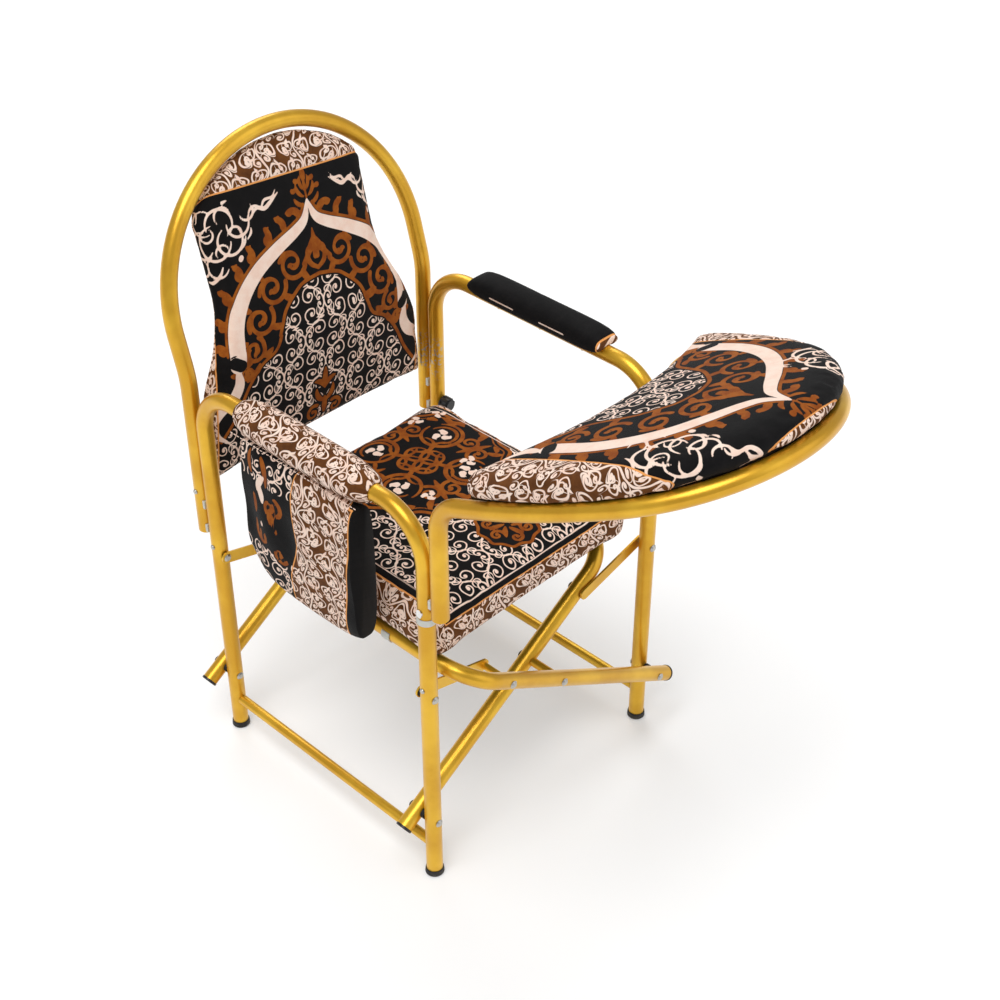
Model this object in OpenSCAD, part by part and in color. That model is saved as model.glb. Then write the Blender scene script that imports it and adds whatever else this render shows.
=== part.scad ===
// Prayer chair: folding X-frame chair with arms, side pocket, arched back and arched table.
// Units are millimetres. The origin is on the floor, in the middle of the chair's outline.
// +X is the sitter's left, the chair faces -Y, +Z is up.

/* [Frame] */
// Distance between the leg axes of the right and left side frames
leg_gap_x = 466; // [380:1:560]
// Distance between the front and rear leg axes of a side frame
leg_gap_y = 456; // [380:1:540]
// Height of the arm tube's axis above the floor
arm_height = 664; // [600:1:740]
// Outside diameter of the frame tube
tube_od = 25; // [19:0.5:32]
// Wall thickness of the frame tube
tube_wall = 1.4; // [1:0.1:2.5]
// Centreline radius of the bends between arm and legs
arm_bend = 75; // [50:1:110]
// Diameter of the low side stretcher
stretcher_od = 16; // [12:0.5:22]
// Height of the stretcher's axis
stretcher_height = 60; // [45:1:80]
// Height of a rubber foot
foot_height = 11; // [9:1:34]
// Wall thickness of a rubber foot
foot_wall = 1.4; // [1.2:0.1:4]

/* [Cross frames] */
// Angle of each cross frame to the floor with the chair open
open_angle = 32; // [26:0.5:38]
// Angle of each cross frame to the floor with the chair folded
folded_angle = 60.5; // [50:0.5:61]
// Height of the lower pivots on the legs
pivot_height = 112; // [90:1:140]
// Distance of each seat rail's axis from its leg axis with the chair open
rail_inset = 45; // [43:0.5:60]
// Distance from a leg plane to a cross frame's plane
cross_offset = 32; // [30:0.5:40]
// Centreline radius of the cross frame bends
cross_bend = 65; // [45:1:90]
// Length of a cross frame past its lower pivot
cross_end = 33; // [24:1:45]
// Distance along a cross frame from the centre pivot to the link
link_reach = 129.7; // [90:0.1:160]
// Thickness of a link bar
link_thick = 3; // [2:0.5:4]
// Width of a link bar
link_width = 19; // [15:1:24]
// Thickness of an end cap's rim
cap_thick = 4; // [2:0.5:6]

/* [Backrest] */
// Lower end of the back hoop's legs
back_low = 393; // [380:1:450]
// Height at which the back hoop starts to lean
back_kink = 665; // [600:1:700]
// Lean of the back hoop from the vertical
back_lean = 15; // [8:0.1:20]
// Straight length of the leaning sides, below the arch
back_straight = 63; // [45:1:200]
// Bend radius where the back hoop starts to lean
back_bend = 160; // [60:5:200]
// Lower edge of the back cushion, below the lean point
back_cushion_drop = 195; // [150:1:205]
// Half width of the back cushion at its waist
back_waist = 160; // [130:1:190]
// Half thickness of the back cushion in its middle
back_puff = 17; // [12:0.5:17.5]

/* [Table] */
// Lower end of the table hoop's legs
table_low = 518; // [480:1:540]
// Height at which the table plane meets the hoop's legs
table_corner = 704; // [690:1:730]
// Upward slope of the table towards the front
table_slope = 22.8; // [10:0.1:30]
// Distance along the table from the corner to the arch's side arcs
table_straight = 41; // [40:1:90]
// Radius of the arch's side arcs
table_side_radius = 700; // [400:5:900]
// Radius of the arch's front arc
table_front_radius = 205; // [170:1:225]
// Bend radius between the hoop's legs and the table plane
table_bend = 60; // [45:1:60]
// Thickness of the table board
board_thick = 6; // [4:0.5:10]
// Edge height of the table cushion above the board
table_cushion_edge = 32; // [20:1:40]
// Extra height of the table cushion in its middle
table_cushion_crown = 11; // [4:1:16]
// How far the table cushion reaches past the hoop's axis
table_cushion_over = 7; // [2:0.5:10]
// Distance from the corner to the table cushion's two near corners
table_near = 50; // [48:1:70]
// Depth of the hollow in the table's near edge
table_hollow = 60; // [40:1:80]

/* [Seat and arms] */
// Half width of the seat cushion
seat_half = 211; // [180:1:215]
// Front edge of the seat cushion, in front of the leg middle
seat_front = 220; // [200:1:226]
// Rear edge of the seat cushion, behind the leg middle
seat_rear = 208; // [180:1:215]
// Edge thickness of the seat cushion
seat_edge = 62; // [40:1:70]
// Extra height of the seat cushion in its middle
seat_crown = 10; // [4:1:18]
// Radius of the seat cushion's corners, seen from above
seat_corner = 32; // [20:1:60]
// Length of the arm pads
arm_pad_length = 282; // [220:1:300]
// Width of the right arm's rolled pad
roll_width = 60; // [46:1:64]
// Height of the right arm's rolled pad
roll_height = 56; // [46:1:62]
// Width of the left arm pad
left_pad_width = 52; // [40:1:60]
// Height of the left arm pad above the tube's axis
left_pad_height = 35; // [28:1:46]
// Lowest point of the side pocket
pocket_low = 400; // [340:1:420]
// Half thickness of the side pocket
pocket_half = 21; // [15:0.5:21.5]
// Wall thickness of the side pocket
pocket_wall = 2.4; // [1.6:0.1:4]

/* [Fits] */
// Clearance between neighbouring bodies
gap = 0.3; // [0.2:0.05:0.5]
// Radial running clearance of the rivets
run = 0.08; // [0.02:0.01:0.1]
// Shank diameter of the pivot rivets
rivet_d = 6; // [5:0.5:8]
// Gap between a hoop's leg and the side frame's leg
hoop_gap = 2; // [1.5:0.1:6]

/* [Hidden] */
tube_r = tube_od/2;
bore_r = tube_r - tube_wall;
half_x = leg_gap_x/2;
half_y = leg_gap_y/2;
hoop_offset = tube_od + hoop_gap;
// Table arch: where the side arcs meet the front arc
arch_turn = acos((table_side_radius - half_x)/(table_side_radius - table_front_radius));
arch_rise = (table_side_radius - table_front_radius)*sin(arch_turn);
table_reach = table_straight + arch_rise + table_front_radius;
// Outline limits, measured from the leg middle, put the origin in the middle of the outline
front_limit = half_y + hoop_offset + table_reach*cos(table_slope) + tube_r;
rear_limit = half_y + hoop_offset + (back_straight + half_x)*sin(back_lean) + tube_r;
mid_y = round(5*(front_limit - rear_limit))/10;
front_y = mid_y - half_y;
rear_y = mid_y + half_y;
// Scissor linkage: each side keeps its length while the angle grows
low_arm = half_x/cos(open_angle);
up_arm = low_arm - rail_inset/cos(open_angle);
cross_arm = low_arm + up_arm;
centre_z = pivot_height + low_arm*sin(open_angle);
rail_x = up_arm*cos(open_angle);
rail_z = pivot_height + cross_arm*sin(open_angle);
a_shift = -cross_offset;
b_shift = cross_offset;
// Link bars: the leg pivot is set so that the bar has one length open and folded
link_mean = (sin(open_angle) + sin(folded_angle))/2;
link_height = pivot_height + link_mean*4*low_arm*link_reach/(low_arm + link_reach);
link_end_x = link_reach*cos(open_angle);
link_end_z = centre_z + link_reach*sin(open_angle);
link_dx = half_x - link_end_x;
link_dz = link_end_z - link_height;
link_length = sqrt(link_dx*link_dx + link_dz*link_dz);
link_tilt = atan2(link_dz, link_dx);
link_plane = (tube_r + cross_offset - tube_r)/2;
rivet_r = rivet_d/2;
head_r = rivet_d*1.05;
head_t = 2.4;
washer_r = rivet_d*1.35;
cap_r = tube_r + 0.5;
foot_r = tube_r + foot_wall;
leg_bottom = 4 + gap;
seat_floor = rail_z + tube_r + gap;
seat_mid = seat_floor + seat_edge/2;
pad_floor = arm_height - roll_height/2;
pad_step = 0.3*arm_pad_length + 1;
pocket_top = pad_floor + 1.6 - gap;
pocket_front = 121;
pocket_rear = 114;
pocket_x = half_x + 13;
knob_z = 416;
back_y = rear_y + hoop_offset;
table_y = front_y - hoop_offset;
spacer_zs = [403, 447];
table_spacer_z = 538;
gold = [0.83, 0.63, 0.16];
black = [0.06, 0.06, 0.06];
cloth = [0.36, 0.22, 0.12];
steel = [0.78, 0.78, 0.76];
grey = [0.82, 0.81, 0.78];
smooth = 64;

// Cylinder along +Y from y0 to y1
module bar_y(x, z, y0, y1, r) {
  translate([x, y0, z]) rotate([-90, 0, 0]) cylinder(h = y1 - y0, r = r, $fn = smooth);
}

// Cylinder along +X from x0 to x1
module bar_x(y, z, x0, x1, r) {
  translate([x0, y, z]) rotate([0, 90, 0]) cylinder(h = x1 - x0, r = r, $fn = smooth);
}

// Quarter or part bend in the XY plane about the origin, from angle a0 through a
module bend(radius, r, a0, a) {
  rotate([0, 0, a0]) rotate_extrude(angle = a, $fn = 96)
    translate([radius, 0]) circle(r = r, $fn = 48);
}

// Solid U in the XY plane: legs along +X from x0 to x1, rail at x1 between y0 and y1
module u_rod(x0, x1, y0, y1, radius, r) {
  for (y = [y0, y1])
    translate([x0, y, 0]) rotate([0, 90, 0])
      cylinder(h = x1 - radius - x0, r = r, $fn = smooth);
  translate([x1, y0 + radius, 0]) rotate([-90, 0, 0])
    cylinder(h = y1 - y0 - 2*radius, r = r, $fn = smooth);
  translate([x1 - radius, y0 + radius, 0]) bend(radius, r, -90, 90);
  translate([x1 - radius, y1 - radius, 0]) bend(radius, r, 0, 90);
}

// Rivet along +Y, with a shank from y0 to y1 and a low head on both ends
module rivet(x, z, y0, y1) {
  bar_y(x, z, y0 - head_t/2, y1 + head_t/2, rivet_r);
  translate([x, y0, z]) rotate([90, 0, 0])
    cylinder(h = head_t, r1 = head_r, r2 = head_r*0.6, $fn = smooth);
  translate([x, y1, z]) rotate([-90, 0, 0])
    cylinder(h = head_t, r1 = head_r, r2 = head_r*0.6, $fn = smooth);
}

module washer(x, z, y0, y1, r) {
  difference() {
    bar_y(x, z, y0, y1, r);
    bar_y(x, z, y0 - 1, y1 + 1, rivet_r + run);
  }
}

// Side frame as one bent tube; side is -1 for the right one
module side_frame(side) {
  x = side*half_x;
  difference() {
    translate([x, 0, 0]) rotate([0, -90, 0])
      u_rod(leg_bottom, arm_height, front_y, rear_y, arm_bend, tube_r);
    translate([x, 0, 0]) rotate([0, -90, 0])
      u_rod(leg_bottom - 1, arm_height, front_y, rear_y, arm_bend, bore_r);
    for (y = [front_y, rear_y], z = [pivot_height, link_height])
      bar_y(x, z, y - tube_od, y + tube_od, rivet_r + run);
    if (side < 0)
      for (y = [front_y, rear_y])
        bar_x(y, link_height + 18, -half_x - tube_od, -half_x, 2 + run);
    if (side > 0) {
      bar_y(x, knob_z, rear_y - tube_od, rear_y, rivet_r + run);
      for (k = [-1, 0, 1])
        translate([x, mid_y + k*pad_step, arm_height - tube_od])
          cylinder(h = 2*tube_od, r = 2 + run, $fn = smooth);
    }
  }
}

module side_frame_right() { color(gold) side_frame(-1); }
module side_frame_left() { color(gold) side_frame(1); }

module foot(x, y) {
  color(black) translate([x, y, 0]) difference() {
    union() {
      cylinder(h = 2, r1 = foot_r - 1, r2 = foot_r + 0.6, $fn = smooth);
      translate([0, 0, 2]) cylinder(h = foot_height - 4, r1 = foot_r + 0.6, r2 = foot_r,
        $fn = smooth);
      translate([0, 0, foot_height - 2]) cylinder(h = 2, r1 = foot_r, r2 = foot_r - 0.5,
        $fn = smooth);
    }
    translate([0, 0, leg_bottom - gap]) cylinder(h = foot_height, r = tube_r + gap,
      $fn = smooth);
  }
}

module foot_front_right() { foot(-half_x, front_y); }
module foot_rear_right() { foot(-half_x, rear_y); }
module foot_front_left() { foot(half_x, front_y); }
module foot_rear_left() { foot(half_x, rear_y); }

// Straight tube between the legs, its ends cut to the round of each leg
module stretcher(x) {
  color(gold) difference() {
    bar_y(x, stretcher_height, front_y, rear_y, stretcher_od/2);
    bar_y(x, stretcher_height, front_y - 1, rear_y + 1, stretcher_od/2 - 1.2);
    for (y = [front_y, rear_y])
      translate([x, y, 0]) cylinder(h = 2*stretcher_height, r = tube_r + gap, $fn = smooth);
  }
}

module stretcher_right() { stretcher(-half_x); }
module stretcher_left() { stretcher(half_x); }

// Places a child drawn along +X from the lower pivot: side -1 starts at the right leg
module on_cross(side, shift) {
  mirror([side > 0 ? 1 : 0, 0, 0])
    translate([-half_x, shift, pivot_height]) rotate([0, -open_angle, 0]) children();
}

module cross_frame(side, shift) {
  color(gold) difference() {
    on_cross(side, shift)
      u_rod(-cross_end, cross_arm, front_y, rear_y, cross_bend, tube_r);
    on_cross(side, shift)
      u_rod(-cross_end - 1, cross_arm, front_y, rear_y, cross_bend, bore_r);
    on_cross(side, shift)
      for (x = [0, low_arm, low_arm + link_reach])
        bar_y(x, 0, front_y - tube_od, rear_y + tube_od, rivet_r + run);
  }
}

module cross_frame_a() { cross_frame(1, a_shift); }
module cross_frame_b() { cross_frame(-1, b_shift); }

module end_cap(side, shift, y) {
  color(black) on_cross(side, shift) translate([-cross_end - gap, y, 0]) rotate([0, 90, 0]) {
    translate([0, 0, -cap_thick]) cylinder(h = 1, r1 = cap_r - 1, r2 = cap_r, $fn = smooth);
    translate([0, 0, 1 - cap_thick]) cylinder(h = cap_thick - 1, r = cap_r, $fn = smooth);
    translate([0, 0, -1]) cylinder(h = 13, r = bore_r - gap, $fn = smooth);
  }
}

module cap_a_front() { end_cap(1, a_shift, front_y); }
module cap_a_rear() { end_cap(1, a_shift, rear_y); }
module cap_b_front() { end_cap(-1, b_shift, front_y); }
module cap_b_rear() { end_cap(-1, b_shift, rear_y); }

// Lower pivots: leg at y, cross frame at y + shift
module pivot_rivet(side, y, shift) {
  low = min(y, y + shift) - tube_r - gap;
  high = max(y, y + shift) + tube_r + gap;
  color(steel) rivet(side*half_x, pivot_height, low, high);
}

module pivot_washer(side, y, shift) {
  low = min(y, y + shift) + tube_r + gap;
  high = max(y, y + shift) - tube_r - gap;
  color(steel) washer(side*half_x, pivot_height, low, high, washer_r);
}

module pivot_rivet_front_right() { pivot_rivet(-1, front_y, b_shift); }
module pivot_rivet_rear_right() { pivot_rivet(-1, rear_y, b_shift); }
module pivot_rivet_front_left() { pivot_rivet(1, front_y, a_shift); }
module pivot_rivet_rear_left() { pivot_rivet(1, rear_y, a_shift); }
module pivot_washer_front_right() { pivot_washer(-1, front_y, b_shift); }
module pivot_washer_rear_right() { pivot_washer(-1, rear_y, b_shift); }
module pivot_washer_front_left() { pivot_washer(1, front_y, a_shift); }
module pivot_washer_rear_left() { pivot_washer(1, rear_y, a_shift); }

module centre_rivet(y) {
  color(steel) rivet(0, centre_z, y - cross_offset - tube_r - gap,
    y + cross_offset + tube_r + gap);
}

module centre_spacer(y) {
  color(gold) washer(0, centre_z, y - cross_offset + tube_r + gap,
    y + cross_offset - tube_r - gap, rivet_r + 4);
}

module centre_rivet_front() { centre_rivet(front_y); }
module centre_rivet_rear() { centre_rivet(rear_y); }
module centre_spacer_front() { centre_spacer(front_y); }
module centre_spacer_rear() { centre_spacer(rear_y); }

// Link bar from the leg pivot to the cross frame, with a stud that reaches the tube.
// y is the bar's middle plane and stud_y the end of the stud.
module link_bar(side, y, stud_y) {
  low = y - link_thick/2;
  color(gold) mirror([side > 0 ? 1 : 0, 0, 0]) translate([-half_x, 0, link_height])
    rotate([0, -link_tilt, 0]) difference() {
      union() {
        bar_y(0, 0, low, low + link_thick, link_width/2);
        bar_y(link_length, 0, low, low + link_thick, link_width/2);
        translate([0, low, -link_width/2]) cube([link_length, link_thick, link_width]);
        bar_y(link_length, 0, min(stud_y, y), max(stud_y, y), rivet_r + 2.5);
      }
      bar_y(0, 0, low - 1, low + link_thick + 1, rivet_r + run);
    }
}

module link_front_right() {
  link_bar(-1, front_y + link_plane, front_y - cross_offset + tube_r + gap);
}
module link_rear_right() {
  link_bar(-1, rear_y - link_plane, rear_y - cross_offset + tube_r + gap);
}
module link_front_left() {
  link_bar(1, front_y + link_plane, front_y + cross_offset - tube_r - gap);
}
module link_rear_left() {
  link_bar(1, rear_y - link_plane, rear_y + cross_offset - tube_r - gap);
}

// Rivet of a link on its leg: the bar is at y + dir*link_plane
module link_rivet(side, y, dir) {
  near = dir*(link_plane + link_thick/2 + gap);
  far = -dir*(tube_r + gap);
  color(steel) rivet(side*half_x, link_height, y + min(near, far), y + max(near, far));
}

module link_rivet_front_right() { link_rivet(-1, front_y, 1); }
module link_rivet_rear_right() { link_rivet(-1, rear_y, -1); }
module link_rivet_front_left() { link_rivet(1, front_y, 1); }
module link_rivet_rear_left() { link_rivet(1, rear_y, -1); }

module link_washer(y, dir) {
  near = dir*(tube_r + gap);
  far = dir*(link_plane - link_thick/2 - gap);
  color(black) washer(-half_x, link_height, y + min(near, far), y + max(near, far),
    washer_r);
}

module link_washer_front_right() { link_washer(front_y, 1); }
module link_washer_rear_right() { link_washer(rear_y, -1); }

// Rivet in a cross frame where a link meets it; dir points to the headed side
module stud(side, shift, y, dir) {
  x = side*link_end_x;
  head = y + shift + dir*(tube_r + gap);
  tail = y + shift - dir*(tube_r - 0.2);
  color(steel) {
    bar_y(x, link_end_z, min(head + dir, tail), max(head + dir, tail), rivet_r);
    translate([x, head, link_end_z]) rotate([-90*dir, 0, 0])
      cylinder(h = head_t, r1 = head_r, r2 = head_r*0.6, $fn = smooth);
  }
}

module stud_a_front() { stud(-1, a_shift, front_y, -1); }
module stud_a_rear() { stud(-1, a_shift, rear_y, -1); }
module stud_b_front() { stud(1, b_shift, front_y, 1); }
module stud_b_rear() { stud(1, b_shift, rear_y, 1); }

// Small screw into the outer side of a tube; dir is the side it is on
module outer_screw(x, y, z, dir) {
  translate([x + dir*(tube_r + gap), y, z]) rotate([0, 90*dir, 0]) {
    cylinder(h = 1.8, r1 = 4.2, r2 = 3, $fn = smooth);
    translate([0, 0, -7]) cylinder(h = 7.5, r = 2, $fn = smooth);
  }
}

module side_screws() {
  color(steel) for (y = [front_y, rear_y]) outer_screw(-half_x, y, link_height + 18, -1);
}

module leg_band() {
  color(grey) translate([-half_x, front_y, 497]) difference() {
    cylinder(h = 10, r = tube_r + gap + 1.1, $fn = smooth);
    translate([0, 0, -1]) cylinder(h = 12, r = tube_r + gap, $fn = smooth);
    translate([tube_r*0.5, -tube_od, -1]) cube([tube_od, 2*tube_od, 12]);
  }
}

module leg_plate() {
  color(steel) difference() {
    translate([-half_x - tube_r - 1.6, front_y, 517]) rotate([0, 90, 0]) scale([1.4, 1, 1])
      cylinder(h = 4, r = 5, $fn = smooth);
    translate([-half_x, front_y, 500]) cylinder(h = 40, r = tube_r + gap, $fn = smooth);
  }
}

// Clip that hooks the seat cover round the right seat rail
module seat_clip() {
  color(grey) difference() {
    bar_y(-rail_x, rail_z, mid_y - 114, mid_y - 98, tube_r + gap + 1.4);
    bar_y(-rail_x, rail_z, mid_y - 115, mid_y - 97, tube_r + gap);
    translate([-rail_x - tube_od, mid_y - 120, rail_z + tube_r - 6])
      cube([2*tube_od, 30, tube_od]);
  }
}

// Rounded fullness of a cushion: 1 inside, falling to 0 at |s| = 1
function full(s, n, m) = pow(max(0, 1 - pow(abs(s), n)), 1/m);
function ease(v) = let(c = min(1, max(0, v))) c*c*(3 - 2*c);
function at(i, n) = -cos(180*i/n);

// Two-skinned solid over a grid of nu by nv cells that share the outer ring of points
module skin(nu, nv, upper, lower) {
  tops = [for (j = [0:nv], i = [0:nu]) upper(at(i, nu), at(j, nv))];
  unders = [for (j = [1:nv - 1], i = [1:nu - 1]) lower(at(i, nu), at(j, nv))];
  first = (nu + 1)*(nv + 1);
  function t(i, j) = j*(nu + 1) + i;
  function u(i, j) = (i == 0 || j == 0 || i == nu || j == nv) ? t(i, j)
    : first + (j - 1)*(nu - 1) + i - 1;
  // Each cell is split from its outer corner inwards
  function cell(a, b, c, d, turned) = turned ? [[a, d, b], [b, d, c]] : [[a, d, c], [a, c, b]];
  polyhedron(points = concat(tops, unders), faces = concat(
    [for (j = [0:nv - 1], i = [0:nu - 1]) each cell(t(i, j), t(i + 1, j),
      t(i + 1, j + 1), t(i, j + 1), (2*i < nu) != (2*j < nv))],
    [for (j = [0:nv - 1], i = [0:nu - 1]) each cell(u(i, j), u(i, j + 1),
      u(i + 1, j + 1), u(i + 1, j), (2*i < nu) != (2*j < nv))]), convexity = 6);
}

// Seat cushion: soft box on the two seat rails, sides drawn in between the corners
function seat_corner_in(v) = let(w = max(0, v - seat_front + seat_corner))
  seat_corner - sqrt(max(0, seat_corner*seat_corner - w*w));
function seat_x(s, t) = s*(seat_half - 4*(1 - t*t) - seat_corner_in(abs(t)*seat_front));
function seat_y(s, t) = mid_y + (t < 0 ? seat_front : seat_rear)*t*(1 - 0.018*(1 - s*s));
function seat_full(s, t) = full(s, 12, 3)*full(t, 12, 3);

module seat_cushion() {
  color(cloth) skin(20, 20,
    function(s, t) [seat_x(s, t), seat_y(s, t), seat_mid + seat_edge/2*seat_full(s, t)
      + seat_crown*(1 - s*s)*(1 - t*t)],
    function(s, t) [seat_x(s, t), seat_y(s, t),
      seat_mid - seat_edge/2*full(s, 30, 3)*full(t, 30, 3)]);
}

// Closed tube of rings, each a list of points that turns from +X towards +Z, along +Y
module lofted(points, rings, sides) {
  polyhedron(points = points, faces = concat(
    [[for (a = [0:sides - 1]) sides - 1 - a]],
    [[for (a = [0:sides - 1]) rings*sides + a]],
    [for (k = [0:rings - 1], a = [0:sides - 1]) let(b = (a + 1)%sides)
      [k*sides + a, k*sides + b, (k + 1)*sides + b]],
    [for (k = [0:rings - 1], a = [0:sides - 1]) let(b = (a + 1)%sides)
      [k*sides + a, (k + 1)*sides + b, (k + 1)*sides + a]]), convexity = 6);
}

// Right arm: cloth roll round the tube
function roll_r(y) = full(y/(arm_pad_length/2), 6, 2.6);

module arm_pad_right() {
  rings = 14;
  sides = 20;
  end = 0.98;
  ys = [for (k = [0:rings]) -end*arm_pad_length/2*cos(180*k/rings)];
  color(cloth) difference() {
    lofted([for (y = ys, a = [0:sides - 1]) let(f = roll_r(y), w = 360*a/sides)
      [-half_x + roll_width/2*f*cos(w), mid_y + y, arm_height + roll_height/2*f*sin(w)]],
      rings, sides);
    bar_y(-half_x, arm_height, mid_y - arm_pad_length, mid_y + arm_pad_length, tube_r + gap);
  }
}

// Side pocket: bag that hangs under the right arm, entered from the seat's side
function pocket_bottom(y) = pocket_low + 45*pow(abs(y + 22)/137, 4);
function pocket_body(y, inset) = (pocket_half - inset)
  *(1 - 0.3*pow(max(0, y)/pocket_rear, 3));
function pocket_fold(y, z) = 2.2*sin(4.2*(y + 40))*sin(180*(z - pocket_low)
  /(pocket_top - pocket_low));

module pocket_solid(inset) {
  rings = 14;
  sides = 22;
  ys = [for (k = [0:rings]) -(pocket_front - inset)
    + (pocket_front + pocket_rear - 2*inset)*(1 - cos(180*k/rings))/2];
  lofted([for (k = [0:rings], a = [0:sides - 1]) let(y = ys[k],
      low = pocket_bottom(y) + inset, high = pocket_top - inset,
      w = 360*a/sides, cx = cos(w), cz = sin(w),
      px = sign(cx)*pow(abs(cx), 0.55), pz = sign(cz)*pow(abs(cz), 0.6),
      z = (low + high)/2 + pz*(high - low)/2)
      [-pocket_x + px*pocket_body(y, inset) - (cx < -0.01 ? pocket_fold(y, z) : 0),
        mid_y + y, z]], rings, sides);
}

module side_pocket() {
  color(cloth) difference() {
    pocket_solid(0);
    pocket_solid(pocket_wall);
    translate([-pocket_x, mid_y - pocket_front + 22, pocket_top - 40])
      cube([40, pocket_front + pocket_rear - 48, 30]);
  }
}

// Left arm: padded block on top of the tube
function left_full(y) = full(y/(arm_pad_length/2 - 6), 8, 2.6);

module arm_pad_left() {
  nu = 12;
  nv = 18;
  half = left_pad_width/2;
  seam = tube_r + 2;
  color(black) difference() {
    skin(nu, nv,
      function(s, t) [half_x + s*half*(1 - 0.12*pow(abs(t), 8)),
        mid_y + t*(arm_pad_length/2 - 6), arm_height + seam
          + (left_pad_height - seam - 4)*full(s, 5, 2.2)*full(t, 10, 2.4)
          + 4*(1 - s*s)*(1 - t*t)],
      function(s, t) [half_x + s*half*(1 - 0.12*pow(abs(t), 8)),
        mid_y + t*(arm_pad_length/2 - 6),
        arm_height + seam - (seam - 2)*full(s, 8, 2.6)*full(t, 10, 2.6)]);
    bar_y(half_x, arm_height, mid_y - arm_pad_length, mid_y + arm_pad_length, tube_r + gap);
    for (k = [-1, 0, 1]) translate([half_x, mid_y + k*pad_step, arm_height])
      cylinder(h = tube_r + 11, r = 2 + run, $fn = smooth);
  }
}

module pad_screws() {
  color(steel) for (k = [-1, 0, 1])
    translate([half_x, mid_y + k*pad_step, arm_height - tube_r - gap]) {
      cylinder(h = tube_od + 8, r = 2, $fn = smooth);
      translate([0, 0, -2]) cylinder(h = 2.2, r1 = 3, r2 = 4.2, $fn = smooth);
    }
}

// Hand knob on the front of the left rear leg
module clamp_knob() {
  y = rear_y - tube_r - 1.2;
  color(black) difference() {
    union() {
      bar_y(half_x, knob_z, y - 14, y, 12.5);
      bar_y(half_x, knob_z, y - 17, y - 13.5, 9);
      bar_y(half_x, knob_z, y - 1, y + 16, rivet_r);
    }
    for (k = [0:5]) bar_y(half_x + 15*cos(60*k + 30), knob_z + 15*sin(60*k + 30),
      y - 20, y - 2.5, 4.5);
  }
}

// Hair-thick collar over the joint of two tube pieces, along +Y from the origin
module collar(r, y0, y1) {
  translate([0, y0, 0]) rotate([-90, 0, 0])
    cylinder(h = y1 - y0, r = r + 0.05, $fn = smooth);
}

// Back hoop: vertical legs, a slight bend, leaning sides and a half-round top
module back_rod(r, extra) {
  turn = back_bend*tan(back_lean/2);
  for (side = [-1, 1]) {
    translate([side*half_x, back_y, back_low - extra])
      cylinder(h = back_kink - turn - back_low + extra, r = r, $fn = smooth);
    translate([side*half_x, back_y, back_kink - turn - 1])
      cylinder(h = 2, r = r + 0.05, $fn = smooth);
    translate([side*half_x, back_y + back_bend, back_kink - turn]) rotate([90, 0, 90])
      bend(back_bend, r, 180 - back_lean, back_lean);
  }
  translate([0, back_y, back_kink]) rotate([90 - back_lean, 0, 0]) {
    for (side = [-1, 1]) translate([side*half_x, 0, 0]) {
      translate([0, turn, 0]) rotate([-90, 0, 0])
        cylinder(h = back_straight - turn, r = r, $fn = smooth);
      collar(r, turn - 1, turn + 1);
      collar(r, back_straight - 1, back_straight + 1);
    }
    translate([0, back_straight, 0]) bend(half_x, r, 0, 180);
  }
}

module back_hoop() {
  color(gold) difference() {
    back_rod(tube_r, 0);
    back_rod(bore_r, 1);
    for (side = [-1, 1])
      bar_x(back_y, back_low + 75, side < 0 ? -half_x - tube_od : half_x,
        side < 0 ? -half_x : half_x + tube_od, 2 + run);
  }
}

module back_screws() {
  color(steel) for (side = [-1, 1])
    outer_screw(side*half_x, back_y, back_low + 75, side);
}

// Pad between a side frame's leg at y and a hoop's leg at y + offset, flat to the leg
module saddle(x, y, offset, z) {
  start = sign(offset)*(tube_r + gap);
  wide = 0.36*tube_od;
  tall = 0.28*tube_od;
  difference() {
    translate([x - wide, y + min(start, offset), z - tall])
      cube([2*wide, abs(offset - start), 2*tall]);
    translate([x, y + offset, z - tube_r]) cylinder(h = tube_od, r = tube_r + gap, $fn = smooth);
  }
}

module back_spacers() {
  color(grey) for (x = [-half_x, half_x], z = spacer_zs) saddle(x, rear_y, hoop_offset, z);
}

// Back cushion: fills the arch, drawn in at its waist and wide at the foot
back_inner = half_x - tube_r - gap;
back_top = back_straight + back_inner - 0.5;
function back_half(v) = min(
  back_waist + (back_inner - 0.1 - back_waist)*ease((back_straight + 32 - v)/back_cushion_drop),
  sqrt(max(0.01, back_inner*back_inner - pow(max(0, v - back_straight), 2))));
function back_v(t) = -back_cushion_drop + (back_top + back_cushion_drop)*(t + 1)/2;
function back_point(s, t, n) = let(v = back_v(t), x = s*back_half(v),
  u = v - 3*(1 - s*s)*pow(abs(min(0, t)), 8)*-1)
  [x, back_y + (v > 0 ? v*sin(back_lean) : 0) - n*cos(v > 0 ? back_lean : 0),
    back_kink + (v > 0 ? v*cos(back_lean) : u) + n*sin(v > 0 ? back_lean : 0)];
function back_full(s, t) = (0.72 + 0.28*(1 - s*s)*(1 - t*t))*full(s, 9, 2.4)*full(t, 16, 2.4);

module back_cushion() {
  color(cloth) skin(16, 30,
    function(s, t) back_point(s, t, back_puff*back_full(s, t) - 5),
    function(s, t) back_point(s, t, -back_puff*back_full(s, t) - 5));
}

// Frame of the table plane: children drawn with +Y away from the sitter, +Z off the top
module on_table() {
  translate([0, table_y, table_corner]) rotate([table_slope, 0, 180]) children();
}

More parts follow.
